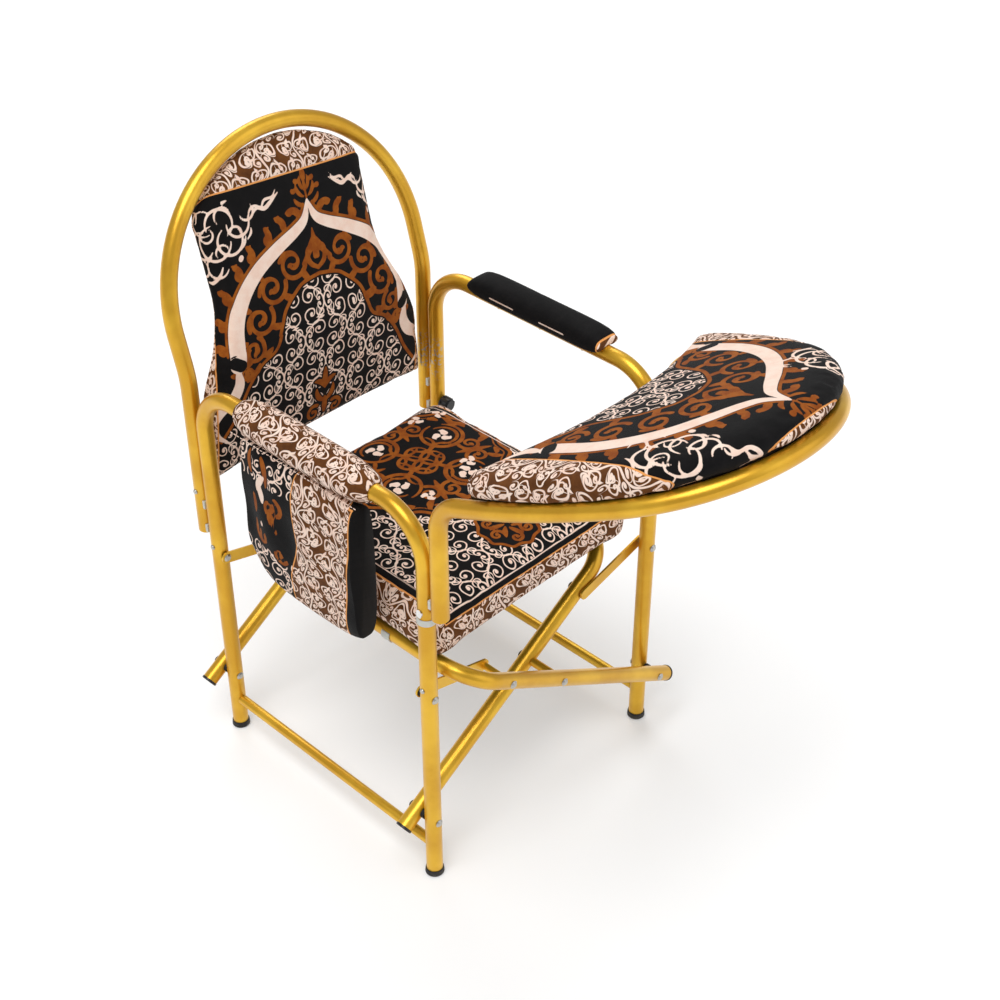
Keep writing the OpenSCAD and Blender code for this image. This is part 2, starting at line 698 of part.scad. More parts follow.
module table_rod(r, extra) {
  turn = table_bend*tan((90 - table_slope)/2);
  for (side = [-1, 1]) {
    translate([side*half_x, table_y, table_low - extra])
      cylinder(h = table_corner - turn - table_low + extra, r = r, $fn = smooth);
    translate([side*half_x, table_y, table_corner - turn - 1])
      cylinder(h = 2, r = r + 0.05, $fn = smooth);
    translate([side*half_x, table_y - table_bend, table_corner - turn]) rotate([90, 0, 90])
      bend(table_bend, r, 0, 90 - table_slope);
  }
  on_table() for (side = [-1, 1]) {
    translate([side*half_x, 0, 0]) collar(r, turn - 1, table_straight + 1);
    mirror([side < 0 ? 1 : 0, 0, 0])
      translate([half_x - table_side_radius, table_straight, 0]) {
        bend(table_side_radius, r, 0, arch_turn);
        rotate([0, 0, arch_turn]) translate([table_side_radius, 0, 0]) collar(r, -1, 1);
      }
  }
  on_table() translate([0, table_straight + arch_rise, 0])
    bend(table_front_radius, r, arch_turn, 180 - 2*arch_turn);
}

module table_hoop() {
  color(gold) difference() {
    table_rod(tube_r, 0);
    table_rod(bore_r, 1);
  }
}

module table_spacers() {
  color(grey) for (x = [-half_x, half_x]) saddle(x, front_y, -hoop_offset, table_spacer_z);
}

// Far edge of the table top at x, inset by e from the hoop's centreline
function far_edge(x, e) = abs(x) < (table_front_radius - e)*cos(arch_turn)
  ? table_straight + arch_rise + sqrt(pow(table_front_radius - e, 2) - x*x)
  : table_straight + sqrt(max(0, pow(table_side_radius - e, 2)
    - pow(abs(x) + table_side_radius - half_x, 2)));
function near_edge(x, w) = table_near + table_hollow*(1 - pow(x/w, 2));

// Board inside the hoop, its top level with the top of the tube
module table_board() {
  e = sqrt(pow(tube_r + gap, 2) - pow(tube_r - board_thick, 2));
  w = half_x - e - 1;
  n = 24;
  xs = [for (k = [0:n]) w*cos(180*k/n)];
  color(black) on_table() translate([0, 0, tube_r - board_thick]) linear_extrude(board_thick)
    polygon(concat([for (x = xs) [x, far_edge(x, e)]],
      [for (k = [0:n]) let(x = -xs[k]) [x, near_edge(x, w) + 6]]));
}

table_half = half_x + table_cushion_over - 0.6;
table_floor = tube_r + gap;
function table_v(s, t) = let(x = s*table_half, lo = near_edge(x, table_half),
  hi = far_edge(x, -table_cushion_over)) lo + (hi - lo)*(t + 1)/2;
function table_full(s, t) = full(s, 14, 2.6)*full(t, 14, 2.6);
function table_point(s, t, n) = [s*table_half, table_v(s, t), n];

module table_cushion() {
  rise = table_cushion_edge/2;
  color(cloth) on_table() skin(22, 18,
    function(s, t) table_point(s, t, table_floor + rise + rise*table_full(s, t)
      + table_cushion_crown*(1 - s*s)*(1 - t*t)),
    function(s, t) table_point(s, t, table_floor + rise - rise*table_full(s, t)));
}

side_frame_right();
side_frame_left();
foot_front_right();
foot_rear_right();
foot_front_left();
foot_rear_left();
stretcher_right();
stretcher_left();
cross_frame_a();
cross_frame_b();
cap_a_front();
cap_a_rear();
cap_b_front();
cap_b_rear();
pivot_rivet_front_right();
pivot_rivet_rear_right();
pivot_rivet_front_left();
pivot_rivet_rear_left();
pivot_washer_front_right();
pivot_washer_rear_right();
pivot_washer_front_left();
pivot_washer_rear_left();
centre_rivet_front();
centre_rivet_rear();
centre_spacer_front();
centre_spacer_rear();
link_front_right();
link_rear_right();
link_front_left();
link_rear_left();
link_rivet_front_right();
link_rivet_rear_right();
link_rivet_front_left();
link_rivet_rear_left();
link_washer_front_right();
link_washer_rear_right();
stud_a_front();
stud_a_rear();
stud_b_front();
stud_b_rear();
side_screws();
leg_band();
leg_plate();
seat_clip();
seat_cushion();
arm_pad_right();
side_pocket();
arm_pad_left();
pad_screws();
clamp_knob();
back_hoop();
back_cushion();
back_spacers();
back_screws();
table_hoop();
table_board();
table_cushion();
table_spacers();
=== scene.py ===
import math
import bpy
import numpy as np
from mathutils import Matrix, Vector


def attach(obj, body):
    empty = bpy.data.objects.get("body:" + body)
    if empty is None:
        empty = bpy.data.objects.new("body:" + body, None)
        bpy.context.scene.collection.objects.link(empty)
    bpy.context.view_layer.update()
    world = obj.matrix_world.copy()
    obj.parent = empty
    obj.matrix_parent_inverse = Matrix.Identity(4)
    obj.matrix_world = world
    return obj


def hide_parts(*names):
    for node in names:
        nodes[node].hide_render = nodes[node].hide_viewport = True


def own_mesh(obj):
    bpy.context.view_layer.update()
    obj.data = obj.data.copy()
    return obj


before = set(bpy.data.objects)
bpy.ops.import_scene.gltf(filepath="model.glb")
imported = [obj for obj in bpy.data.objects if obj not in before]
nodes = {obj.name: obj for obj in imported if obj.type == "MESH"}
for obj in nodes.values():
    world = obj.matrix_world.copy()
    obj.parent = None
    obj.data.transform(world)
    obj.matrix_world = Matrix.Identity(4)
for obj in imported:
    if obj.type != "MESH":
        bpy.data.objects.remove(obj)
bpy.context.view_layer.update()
print("frame loaded:", len(nodes), "nodes")

# Sizes that the chair's drawing gives, in millimetres; angles in degrees
chair = {
    "halfX": 233.0, "frontY": -77.3, "rearY": 378.7, "midY": 150.7,
    "armHeight": 664.0, "armBend": 75.0, "tubeRadius": 12.5, "gap": 0.3,
    "backY": 405.7, "backKink": 665.0, "backLean": 15.0, "backStraight": 63.0, "backLow": 393.0,
    "tableY": -104.3, "tableCorner": 704.0, "tableSlope": 22.8, "tableStraight": 41.0,
    "sideRadius": 700.0, "frontRadius": 205.0,
    "seatFloor": 387.87,
}


# Small helpers
def pick(obj):
    # Makes one object the only one selected and active
    bpy.ops.object.select_all(action="DESELECT")
    obj.select_set(True)
    bpy.context.view_layer.objects.active = obj
    return obj


def applyAll(obj):
    pick(obj)
    for modifier in list(obj.modifiers):
        bpy.ops.object.modifier_apply(modifier=modifier.name)
    return obj


def readVectors(obj, key):
    values = np.empty(len(obj.data.vertices) * 3, dtype=np.float32)
    obj.data.vertices.foreach_get(key, values)
    return values.reshape(-1, 3).astype(np.float64)


def getPoints(obj):
    return readVectors(obj, "co") * 1000.0


def setPoints(obj, points):
    obj.data.vertices.foreach_set("co", (points / 1000.0).astype(np.float32).ravel())
    obj.data.update()


def getNormals(obj):
    return readVectors(obj, "normal")


def store(obj, name, values):
    # Writes one number, or one vector, for each point of the mesh
    values = np.asarray(values, dtype=np.float32)
    kind = "FLOAT" if values.ndim == 1 else "FLOAT_VECTOR"
    layer = obj.data.attributes.new(name, kind, "POINT")
    layer.data.foreach_set("value" if kind == "FLOAT" else "vector", values.ravel())


def smooth(x):
    x = np.clip(x, 0.0, 1.0)
    return x * x * (3 - 2 * x)


def editAll(obj):
    # Opens a mesh in edit mode with all of it selected
    pick(obj)
    bpy.ops.object.mode_set(mode="EDIT")
    bpy.ops.mesh.select_all(action="SELECT")


def newObject(name, data):
    obj = bpy.data.objects.new(name, data)
    bpy.context.scene.collection.objects.link(obj)
    return obj


def copyOfNode(node, name):
    # A merged copy of a CAD node's mesh as a free object
    mesh = nodes[node].data.copy()
    mesh.materials.clear()
    obj = newObject(name, mesh)
    editAll(obj)
    bpy.ops.mesh.remove_doubles(threshold=0.00005)
    bpy.ops.object.mode_set(mode="OBJECT")
    return obj


def keepClear(points, path, radius):
    # Pushes points out of the round of a tube that follows path
    low, high = path.min(0) - radius - 2, path.max(0) + radius + 2
    near = np.where(np.all((points > low) & (points < high), axis=1))[0]
    some = points[near]
    dist, spot = np.full(len(some), 1e9), np.zeros_like(some)
    for a, b in zip(path[:-1], path[1:]):
        ab = b - a
        t = np.clip((some - a) @ ab / max(ab @ ab, 1e-9), 0, 1)
        q = a + t[:, None] * ab
        d = np.linalg.norm(some - q, axis=1)
        closer = d < dist
        dist[closer], spot[closer] = d[closer], q[closer]
    inside = dist < radius
    away = some[inside] - spot[inside]
    away /= np.maximum(np.linalg.norm(away, axis=1), 1e-6)[:, None]
    points[near[inside]] = spot[inside] + away * radius
    return points


# Frames of the two leaning planes
leanTurn = math.radians(chair["backLean"])
backUp = np.array([0, math.sin(leanTurn), math.cos(leanTurn)])
backOut = np.array([0, -math.cos(leanTurn), math.sin(leanTurn)])
backRoot = np.array([0, chair["backY"], chair["backKink"]])
slopeTurn = math.radians(chair["tableSlope"])
tableUp = np.array([0, -math.cos(slopeTurn), math.sin(slopeTurn)])
tableOut = np.array([0, math.sin(slopeTurn), math.cos(slopeTurn)])
tableRoot = np.array([0, chair["tableY"], chair["tableCorner"]])


def toBack(points):
    # Across, up the back and out of its plane; below the lean the plane is upright
    rel = points - backRoot
    up, out = rel @ backUp, rel @ backOut
    low = up < 0
    up[low], out[low] = rel[low, 2], -rel[low, 1]
    return rel[:, 0], up, out


def toTable(points):
    rel = points - tableRoot
    return rel[:, 0], rel @ tableUp, rel @ tableOut


def onTable(across, up):
    # A shift within the table's plane
    return across[:, None] * np.array([1.0, 0, 0]) + up[:, None] * tableUp


def backPath():
    # Centre line of the back's hoop
    turn = np.linspace(0, math.pi, 61)[:, None]
    half, low, y = chair["halfX"], chair["backLow"], chair["backY"]
    arch = backRoot + (chair["backStraight"] + half * np.sin(turn)) * backUp - half * np.cos(turn) * [1, 0, 0]
    knee = chair["backKink"] - 20
    return np.vstack([[[-half, y, low], [-half, y, knee]], arch, [[half, y, knee], [half, y, low]]])


# How far the side arcs of the table's hoop reach before its front arc begins
archCentres = chair["sideRadius"] - chair["frontRadius"]
archRise = archCentres * math.sin(math.acos((chair["sideRadius"] - chair["halfX"]) / archCentres))


def armPath(side):
    # Centre line of one side frame's tube, from foot to foot
    x, bend = side * chair["halfX"], chair["armBend"]
    top, y0, y1, foot = chair["armHeight"], chair["frontY"], chair["rearY"], 30
    a = np.linspace(0, math.pi / 2, 12)
    front = [[x, y0 + bend - bend * math.cos(t), top - bend + bend * math.sin(t)] for t in a]
    rear = [[x, y1 - bend + bend * math.sin(t), top - bend + bend * math.cos(t)] for t in a]
    return np.array([[x, y0, foot]] + front + rear + [[x, y1, foot]])


# Shader wiring
def plug(tree, value, socket):
    # Links a wire or another node's socket, or sets a constant
    value = value.socket if isinstance(value, Wire) else value
    if isinstance(value, bpy.types.NodeSocket):
        tree.links.new(value, socket)
    else:
        socket.default_value = tuple(value) + (1.0,) if socket.type == "RGBA" else value


def addNode(tree, kind, settings=None, inputs=None):
    # Makes a node: its settings first, then each socket's link or value
    node = tree.nodes.new("ShaderNode" + kind)
    for key, value in (settings or {}).items():
        setattr(node, key, value)
    for key, value in (inputs or {}).items():
        plug(tree, value, node.inputs[key])
    return node


class Wire:
    # One number socket; Python's own signs add the Math nodes
    def __init__(self, tree, socket):
        self.tree, self.socket = tree, socket

    def math(self, operation, *others):
        node = addNode(self.tree, "Math", {"operation": operation}, dict(enumerate((self,) + others)))
        return Wire(self.tree, node.outputs[0])

    def __add__(self, other): return self.math("ADD", other)
    def __radd__(self, other): return self.math("ADD", other)
    def __sub__(self, other): return self.math("SUBTRACT", other)
    def __rsub__(self, other): return self.math("MULTIPLY_ADD", -1.0, other)
    def __mul__(self, other): return self.math("MULTIPLY", other)
    def __rmul__(self, other): return self.math("MULTIPLY", other)
    def __truediv__(self, other): return self.math("DIVIDE", other)
    def __rtruediv__(self, other): return self.math("POWER", -1.0) * other
    def __abs__(self): return self.math("ABSOLUTE")
    def low(self, other): return self.math("MINIMUM", other)
    def high(self, other): return self.math("MAXIMUM", other)
    def sin(self): return self.math("SINE")
    def cos(self): return self.math("COSINE")
    def root(self): return self.math("SQRT")
    def fold(self, period): return self.math("PINGPONG", period / 2)
    def wrap(self, low, high): return self.math("WRAP", high, low)

    def step(self, start, end):
        # 0 at start, 1 at end, smooth between them
        node = addNode(self.tree, "MapRange", {"interpolation_type": "SMOOTHSTEP"}, {
            "Value": self, "From Min": min(start, end), "From Max": max(start, end),
            "To Min": float(start > end), "To Max": float(start < end)})
        return Wire(self.tree, node.outputs["Result"])


class Finish:
    # A material under construction, with its Principled shader
    def __init__(self, name, **fixed):
        self.material = bpy.data.materials.new(name)
        self.material.use_nodes = True
        self.tree = self.material.node_tree
        self.shader = self.tree.nodes["Principled BSDF"]
        for socket, value in fixed.items():
            self.shader.inputs[socket.replace("_", " ")].default_value = value

    def node(self, kind, settings=None, inputs=None, output=0):
        return addNode(self.tree, kind, settings, inputs).outputs[output]

    def place(self):
        return self.node("TexCoord", output="Object")

    def number(self, name):
        return Wire(self.tree, self.node("Attribute", {"attribute_name": name}, output="Fac"))

    def split(self, vector):
        node = addNode(self.tree, "SeparateXYZ", None, {0: vector})
        return [Wire(self.tree, socket) for socket in node.outputs]

    def stretch(self, vector, x, y, z):
        return self.node("Mapping", None, {"Vector": vector, "Scale": (x, y, z)})

    def noise(self, vector, scale, detail=3.0, roughness=0.5, distortion=0.0):
        return Wire(self.tree, self.node("TexNoise", None, {
            "Vector": vector, "Scale": scale, "Detail": detail, "Roughness": roughness,
            "Distortion": distortion}))

    def cells(self, vector, scale, output="Distance"):
        return Wire(self.tree, self.node("TexVoronoi", None, {"Vector": vector, "Scale": scale}, output))

    def mix(self, factor, first, second):
        # Sockets 0, 6 and 7 are the factor and the two colours, and output 2 is the mixed colour
        return self.node("Mix", {"data_type": "RGBA"}, {0: factor, 6: first, 7: second}, 2)

    def bump(self, height, depth, strength=1.0, under=None):
        inputs = {"Height": height, "Distance": depth, "Strength": strength}
        if under is not None:
            inputs["Normal"] = under
        return self.node("Bump", None, inputs)

    def set(self, **links):
        for name, value in links.items():
            plug(self.tree, value, self.shader.inputs[name.replace("_", " ")])
        return self.material


def tint(*shades):
    # A colour written as it looks on a screen, 0 to 255
    return tuple(c / 12.92 / 255 if c < 11 else ((c / 255 + 0.055) / 1.055) ** 2.4 for c in shades)


# Metal, rubber and plastic
paint = {
    "colour": tint(208, 153, 21), "light": tint(234, 185, 47), "worn": tint(150, 108, 28),
    "sparkle": tint(255, 222, 120), "bare": tint(176, 172, 164), "cloud": 9.0, "wear": 34.0, "chips": 190.0,
    "flake": 0.00035, "orangePeel": 0.0022, "gloss": 0.29, "barePlace": (0.222, 0.3, 0.505),
}


def goldPaint():
    f = Finish("gold paint", Metallic=0.7, Coat_Weight=0.2, Coat_Roughness=0.2)
    p = f.place()
    cloud = f.noise(p, paint["cloud"], 4.0, 0.55)
    flake = f.cells(p, 1 / paint["flake"], output="Color")
    peel = f.noise(p, 1 / paint["orangePeel"], 2.0)
    scuff = f.noise(p, paint["wear"], 6.0, 0.7).step(0.66, 0.74)
    # Bare spots on the rear left leg beside the back hoop
    x, y, z = f.split(p)
    atX, fromY, atZ = paint["barePlace"]
    spot = abs(z - atZ).step(0.05, 0.01) * abs(x - atX).step(0.018, 0.006) * (y - fromY).step(-0.01, 0.01)
    bare = f.noise(p, paint["chips"], 3.0, 0.6).step(0.52, 0.6) * spot
    colour = f.mix(cloud.step(0.35, 0.7), paint["colour"], paint["light"])
    colour = f.mix(flake * 0.10, colour, paint["sparkle"])
    colour = f.mix(scuff * 0.35, colour, paint["worn"])
    colour = f.mix(bare, colour, paint["bare"])
    rough = paint["gloss"] + cloud * 0.08 + scuff * 0.18
    return f.set(Base_Color=colour, Roughness=rough, Normal=f.bump(peel, 0.00012, 0.35))


# The smaller finishes: their colours, and how many grains they have to the metre
small = {
    "rubber": tint(24, 23, 23), "dust": tint(104, 98, 90), "rubberGrain": 420.0, "dustClouds": 22.0,
    "dustHeight": 0.016, "plastic": tint(17, 17, 18), "plasticPale": tint(30, 30, 32), "plasticGrain": 900.0,
    "brushing": 160.0, "stains": 60.0, "clip": tint(196, 192, 182), "clipPale": tint(222, 219, 211),
    "clipScratch": tint(168, 162, 150), "scratches": 210.0, "wood": tint(28, 22, 18),
    "woodPale": tint(52, 40, 31), "pore": tint(14, 11, 9),
}


def rubber():
    f = Finish("foot rubber", Specular_IOR_Level=0.4)
    p = f.place()
    grain = f.noise(p, small["rubberGrain"], 3.0)
    dust = f.noise(p, small["dustClouds"], 5.0, 0.65).step(0.35, 0.65)
    dirty = f.split(p)[2].step(small["dustHeight"], 0.002) * dust
    colour = f.mix(dirty * 0.55, small["rubber"], small["dust"])
    return f.set(Base_Color=colour, Roughness=0.52 + grain * 0.2, Normal=f.bump(grain, 0.0002, 0.4))


def blackPlastic():
    f = Finish("black plastic")
    p = f.place()
    grain = f.cells(p, small["plasticGrain"])
    cloud = f.noise(p, 30.0, 4.0)
    colour = f.mix(cloud, small["plastic"], small["plasticPale"])
    return f.set(Base_Color=colour, Roughness=0.3 + cloud * 0.18, Normal=f.bump(grain, 0.0001, 0.35))


def steel(name, shade, rough):
    f = Finish(name, Metallic=1.0)
    p = f.place()
    brushed = f.noise(f.stretch(p, 1.0, 1.0, 14.0), small["brushing"], 4.0)
    stain = f.noise(p, small["stains"], 5.0, 0.6).step(0.5, 0.75) * 0.5
    colour = f.mix(stain, tint(*shade), tint(*[int(c * 0.72) for c in shade]))
    return f.set(Base_Color=colour, Roughness=rough + brushed * 0.14, Normal=f.bump(brushed, 0.00006, 0.3))


def clipPlastic():
    f = Finish("grey clip plastic", Subsurface_Weight=0.12)
    p = f.place()
    cloud = f.noise(p, 70.0, 4.0)
    scratch = f.noise(f.stretch(p, 1.0, 9.0, 1.0), small["scratches"], 3.0).step(0.62, 0.7)
    colour = f.mix(cloud, small["clip"], small["clipPale"])
    colour = f.mix(scratch * 0.4, colour, small["clipScratch"])
    return f.set(Base_Color=colour, Roughness=0.32 + cloud * 0.2, Normal=f.bump(cloud, 0.0002, 0.3))


def boardWood():
    f = Finish("table board")
    p = f.place()
    grain = f.noise(f.stretch(p, 14.0, 2.2, 14.0), 9.0, 6.0, 0.6, 0.6)
    pore = f.noise(f.stretch(p, 60.0, 6.0, 60.0), 12.0, 3.0).step(0.6, 0.72)
    colour = f.mix(grain.step(0.3, 0.7), small["wood"], small["woodPale"])
    colour = f.mix(pore * 0.6, colour, small["pore"])
    return f.set(Base_Color=colour, Roughness=0.46 + grain * 0.2, Normal=f.bump(pore, 0.0002, 0.5))


# Printed cloth
cloth = {
    "black": tint(9, 8, 9), "blackWorn": tint(17, 15, 16),
    "cream": tint(255, 231, 215), "creamWorn": tint(250, 217, 198),
    "rust": tint(164, 90, 24), "rustDark": tint(138, 68, 14),
    "brown": tint(88, 50, 20), "brownLight": tint(112, 66, 28),
    "orange": tint(240, 164, 92), "fuzz": tint(6, 5, 5), "piping": (1.5, 0.9),
    "thread": 0.62, "lineLattice": 0.60, "lineVine": 0.95, "scaleLattice": 1.75, "scaleVine": 1.2,
    "soft": 0.35, "wobble": 12.0, "swing": 34.0,
}

# What each point of a printed piece tells: how far it is outside each of these, in millimetres
printFields = ("cream", "rust", "dark", "lattice", "border")

# One tile of each pattern in millimetres; a curl is x, y, radius, pitch, hand, end angle and eye
latticeTile = {"wide": 48.0, "tall": 56.0, "squeeze": 0.68,
               "curls": [(8.6, 7.6, 8.0, 5.4, 1, 50, 1.0), (4.8, 20.4, 4.8, 5.2, -1, -20, 0.7),
                         (19.0, 2.6, 3.8, 4.8, 1, 90, 0.6)]}
vineTile = {"wide": 54.0, "tall": 50.0, "wave": 6.0, "bud": (15.0, 21.0, 0.9),
            "curls": [(10.0, 10.2, 9.4, 6.4, 1, 60, 0.9), (8.8, -9.8, 8.0, 6.0, -1, -80, 0.9),
                      (20.6, 1.2, 4.8, 4.8, 1, 150, 0.8), (17.0, -18.0, 4.4, 4.6, -1, 200, 0.8)]}


def curl(x, y, cx, cy, radius, pitch, hand, end, eye):
    # Distance to one spiral line about (cx, cy)
    dx, dy = x - cx, (y - cy) * float(hand)
    r = (dx * dx + dy * dy).root()
    start = radius / pitch + end / 360.0 * hand - 0.5
    turn = r / pitch + dy.math("ARCTAN2", dx) / (2 * math.pi) - start
    d = abs(turn.wrap(0.0, 1.0) - 0.5) * pitch
    return d.low(r - eye).high(r - radius)


def latticeLine(x, y):
    # Distance to the fine net's lines
    wide, tall = latticeTile["wide"], latticeTile["tall"]
    a, b = x.fold(wide), y.wrap(-tall / 2, tall / 2)
    c, d = wide / 2 - a, (y + tall / 2).wrap(-tall / 2, tall / 2)
    line = abs(a - (y * (2 * math.pi / tall)).cos() * (wide / 4) - wide / 4) * latticeTile["squeeze"]
    for p, q in ((a, abs(b)), (c, abs(d))):
        for one in latticeTile["curls"]:
            line = line.low(curl(p, q, *one))
    return line


def vineLine(x, y):
    # Distance to the border's scrolling vine
    wide, tall = vineTile["wide"], vineTile["tall"]
    wave = (y * (2 * math.pi / tall)).sin() * vineTile["wave"]
    a, b = (x - wave).fold(wide), y.wrap(-tall / 2, tall / 2)
    c, d = wide / 2 - a, (y + tall / 2).wrap(-tall / 2, tall / 2)
    line = abs(a - 0.4)
    budX, budY, budSize = vineTile["bud"]
    for p, q in ((a, b), (c, d)):
        for one in vineTile["curls"]:
            line = line.low(curl(p, q, *one))
        line = line.low((abs(p - budX) * 0.8 + abs(q - budY) * 0.55) - budSize)
    return line


def printedCloth():
    f = Finish("printed cloth", Specular_IOR_Level=0.16, Sheen_Weight=0.04, Sheen_Roughness=0.45)
    flat = f.node("Attribute", {"attribute_name": "cloth"}, output="Vector")
    # The print wavers a little, as on stretched cloth
    wobble = f.noise(flat, 0.018, 2.0)
    wobble2 = f.noise(f.stretch(flat, 1.0, -1.0, 1.0), 0.023, 2.0)
    u, v, _ = f.split(flat)
    x, y = u + (wobble - 0.5) * cloth["wobble"], v + (wobble2 - 0.5) * cloth["wobble"]
    cream, rust, dark, inLattice, inBorder = (f.number(name) for name in printFields)
    soft, a, b = cloth["soft"], cloth["scaleLattice"], cloth["scaleVine"]
    fine = latticeLine(x / a, y / a).step(cloth["lineLattice"] + soft / a, cloth["lineLattice"] - soft / a)
    fine = fine * inLattice.step(0.4, -0.4)
    swing = f.noise(flat, 0.011, 1.0)
    swing2 = f.noise(f.stretch(flat, -1.0, 1.0, 1.0), 0.013, 1.0)
    vx, vy = (x + (swing - 0.5) * cloth["swing"]) / b, (y + (swing2 - 0.5) * cloth["swing"]) / b
    width = f.noise(flat, 0.07, 1.0) * 1.1 + (cloth["lineVine"] - 0.5)
    vine = (vineLine(vx, vy) - width).step(soft / b, -soft / b)
    # Each colour has a faded shade of its own
    fade = f.noise(flat, 0.05, 4.0, 0.6)
    black = f.mix(fade.step(0.4, 0.75), cloth["black"], cloth["blackWorn"])
    pale = f.mix(fade.step(0.35, 0.7), cloth["cream"], cloth["creamWorn"])
    warm = f.mix(fade.step(0.35, 0.65), cloth["rust"], cloth["rustDark"])
    ground = f.mix(fade.step(0.3, 0.7), cloth["brown"], cloth["brownLight"])
    colour = f.mix(fine, black, pale)
    for field, shade in ((rust, warm), (cream, pale), (dark, black), (inBorder, f.mix(vine, ground, pale))):
        colour = f.mix(field.step(soft, -soft), colour, shade)
    colour = f.mix(abs(inBorder).step(*cloth["piping"]), colour, cloth["orange"])
    # Weave: threads over and under, seen close by
    pitch = math.pi / cloth["thread"]
    weave = (u * pitch).sin() * (v * pitch).sin()
    fuzz = f.noise(flat, 2.4, 3.0)
    colour = f.mix(fuzz.step(0.3, 0.8) * 0.16, colour, cloth["fuzz"])
    normal = f.bump(weave * 0.5 + fuzz, 0.00016, 0.55)
    normal = f.bump(f.noise(flat, 0.09, 4.0, 0.55, 0.4), 0.0010, 0.30, normal)
    return f.set(Base_Color=colour, Roughness=0.74 + fuzz * 0.16, Normal=normal)


# Drawing on the cloth: strokes as lines with a half width
def spline(points, count=24):
    # Smooth line through a few points (Catmull-Rom), each with its half width
    p = np.asarray(points, dtype=float)
    p = np.vstack([2 * p[0] - p[1], p, 2 * p[-1] - p[-2]])
    out = []
    for i in range(1, len(p) - 2):
        t = np.linspace(0, 1, max(3, count // (len(p) - 3)), endpoint=i == len(p) - 3)[:, None]
        out.append(0.5 * (2 * p[i] + (p[i + 1] - p[i - 1]) * t
                          + (2 * p[i - 1] - 5 * p[i] + 4 * p[i + 1] - p[i + 2]) * t * t
                          + (3 * p[i] - p[i - 1] - 3 * p[i + 1] + p[i + 2]) * t ** 3))
    return np.vstack(out)


def scroll(cx, cy, radius, start, turns, hand=1, wide=3.4, bulb=4.5, steps=30):
    # Spiral that begins on its outer turn at angle start and ends in a round bulb
    t = np.linspace(0, 1, steps)
    r = radius * (1 - 0.78 * t)
    a = np.radians(start) + hand * 2 * math.pi * turns * t
    w = wide * (1 - 0.45 * t)
    w[-1] = bulb
    return np.stack([cx + r * np.cos(a), cy + r * np.sin(a), w], -1)


def leaf(x, y, angle, length, wide, bend=0.5, steps=12):
    # Tapered leaf that curves to one side
    t = np.linspace(0, 1, steps)
    a = math.radians(angle) + bend * (t - 0.15)
    step = length / (steps - 1)
    px = x + np.concatenate([[0], np.cumsum(np.cos(a[:-1]) * step)])
    py = y + np.concatenate([[0], np.cumsum(np.sin(a[:-1]) * step)])
    w = wide * np.sin(math.pi * np.clip(t * 0.9 + 0.08, 0, 1)) ** 0.8
    return np.stack([px, py, w], -1)


def mirrored(strokes):
    return strokes + [s * np.array([-1, 1, 1]) for s in strokes]


def toSegment(x, y, a, b):
    # How far along the line from a to b each point is, 0 to 1, and its distance to that place
    dx, dy = b[0] - a[0], b[1] - a[1]
    t = np.clip(((x - a[0]) * dx + (y - a[1]) * dy) / max(dx * dx + dy * dy, 1e-9), 0, 1)
    return t, np.hypot(x - a[0] - t * dx, y - a[1] - t * dy)


def strokeField(x, y, strokes, cap=6.0):
    # Signed distance to the nearest stroke, negative inside
    field = np.full(len(x), cap)
    for s in strokes:
        reach = s[:, 2].max() + cap
        near = np.where((x > s[:, 0].min() - reach) & (x < s[:, 0].max() + reach)
                        & (y > s[:, 1].min() - reach) & (y < s[:, 1].max() + reach))[0]
        if not len(near):
            continue
        px, py, best = x[near], y[near], field[near]
        for a, b in zip(s[:-1], s[1:]):
            t, dist = toSegment(px, py, a, b)
            best = np.minimum(best, dist - (a[2] + t * (b[2] - a[2])))
        field[near] = best
    return field


def areaField(x, y, outline, cap=8.0):
    # Signed distance to a closed outline, negative inside
    ring = np.vstack([outline, outline[:1]])
    best, inside = np.full(len(x), 1e9), np.zeros(len(x), dtype=bool)
    for a, b in zip(ring[:-1], ring[1:]):
        best = np.minimum(best, toSegment(x, y, a, b)[1])
        if a[1] != b[1]:
            inside ^= ((a[1] > y) != (b[1] > y)) & (x < (b[0] - a[0]) * (y - a[1]) / (b[1] - a[1]) + a[0])
    return np.clip(np.where(inside, -best, best), -cap, cap)


# The niche that the cloth shows: an arch with a pointed top. Band and inner are shares of its half
# width and its height, each band point with its half width; the rest is drawn for a 166 by 200 mm half
niche = {
    "halfWide": 166.0, "tall": 200.0,
    "band": [(1, 0, 13.5), (.965, .25, 12.5), (.85, .45, 12), (.66, .61, 11), (.42, .725, 10),
             (.18, .815, 8.5), (.06, .885, 6.5), (0, 1.02, 1.0)],
    "inner": [(0, .457), (.18, .43), (.28, .385), (.43, .27), (.508, .137), (.59, .01), (.75, -.065),
              (.9, -.22), (1.03, -.42), (1.2, -.6)],
    "foot": [(167, -14, 5), (166, -34, 9), (178, -54, 10), (199, -68, 9), (211, -86, 8), (206, -108, 5),
             (190, -122, 2)],
    "scrolls": [(46, 118, 24, 200, 1), (88, 92, 25, 170, 1), (118, 52, 25, 150, 1), (136, 12, 19, 120, 1),
                (150, -18, 13, 90, -1)],
    "stem": [(0, 150, 1.5), (7, 136, 5), (16, 122, 4.5), (26, 112, 3)],
    "loop": [(0, 100, 3), (13, 110, 4), (16, 128, 3.2), (6, 138, 2.6)],
    "bud": [(2, 118, 4), (0, 140, 5), (0, 160, 1)],
    "crown": [(0, 26, 88, 22, 4.6, 0.2), (3, 14, 62, 22, 3.0, 0.9), (4, 4, 38, 26, 3.2, 1.3),
              (5, -8, 14, 25, 3.4, 1.4)],
    "flames": 8, "rimGap": 3.2, "rimWide": 2.2, "netLine": 2.8,
}


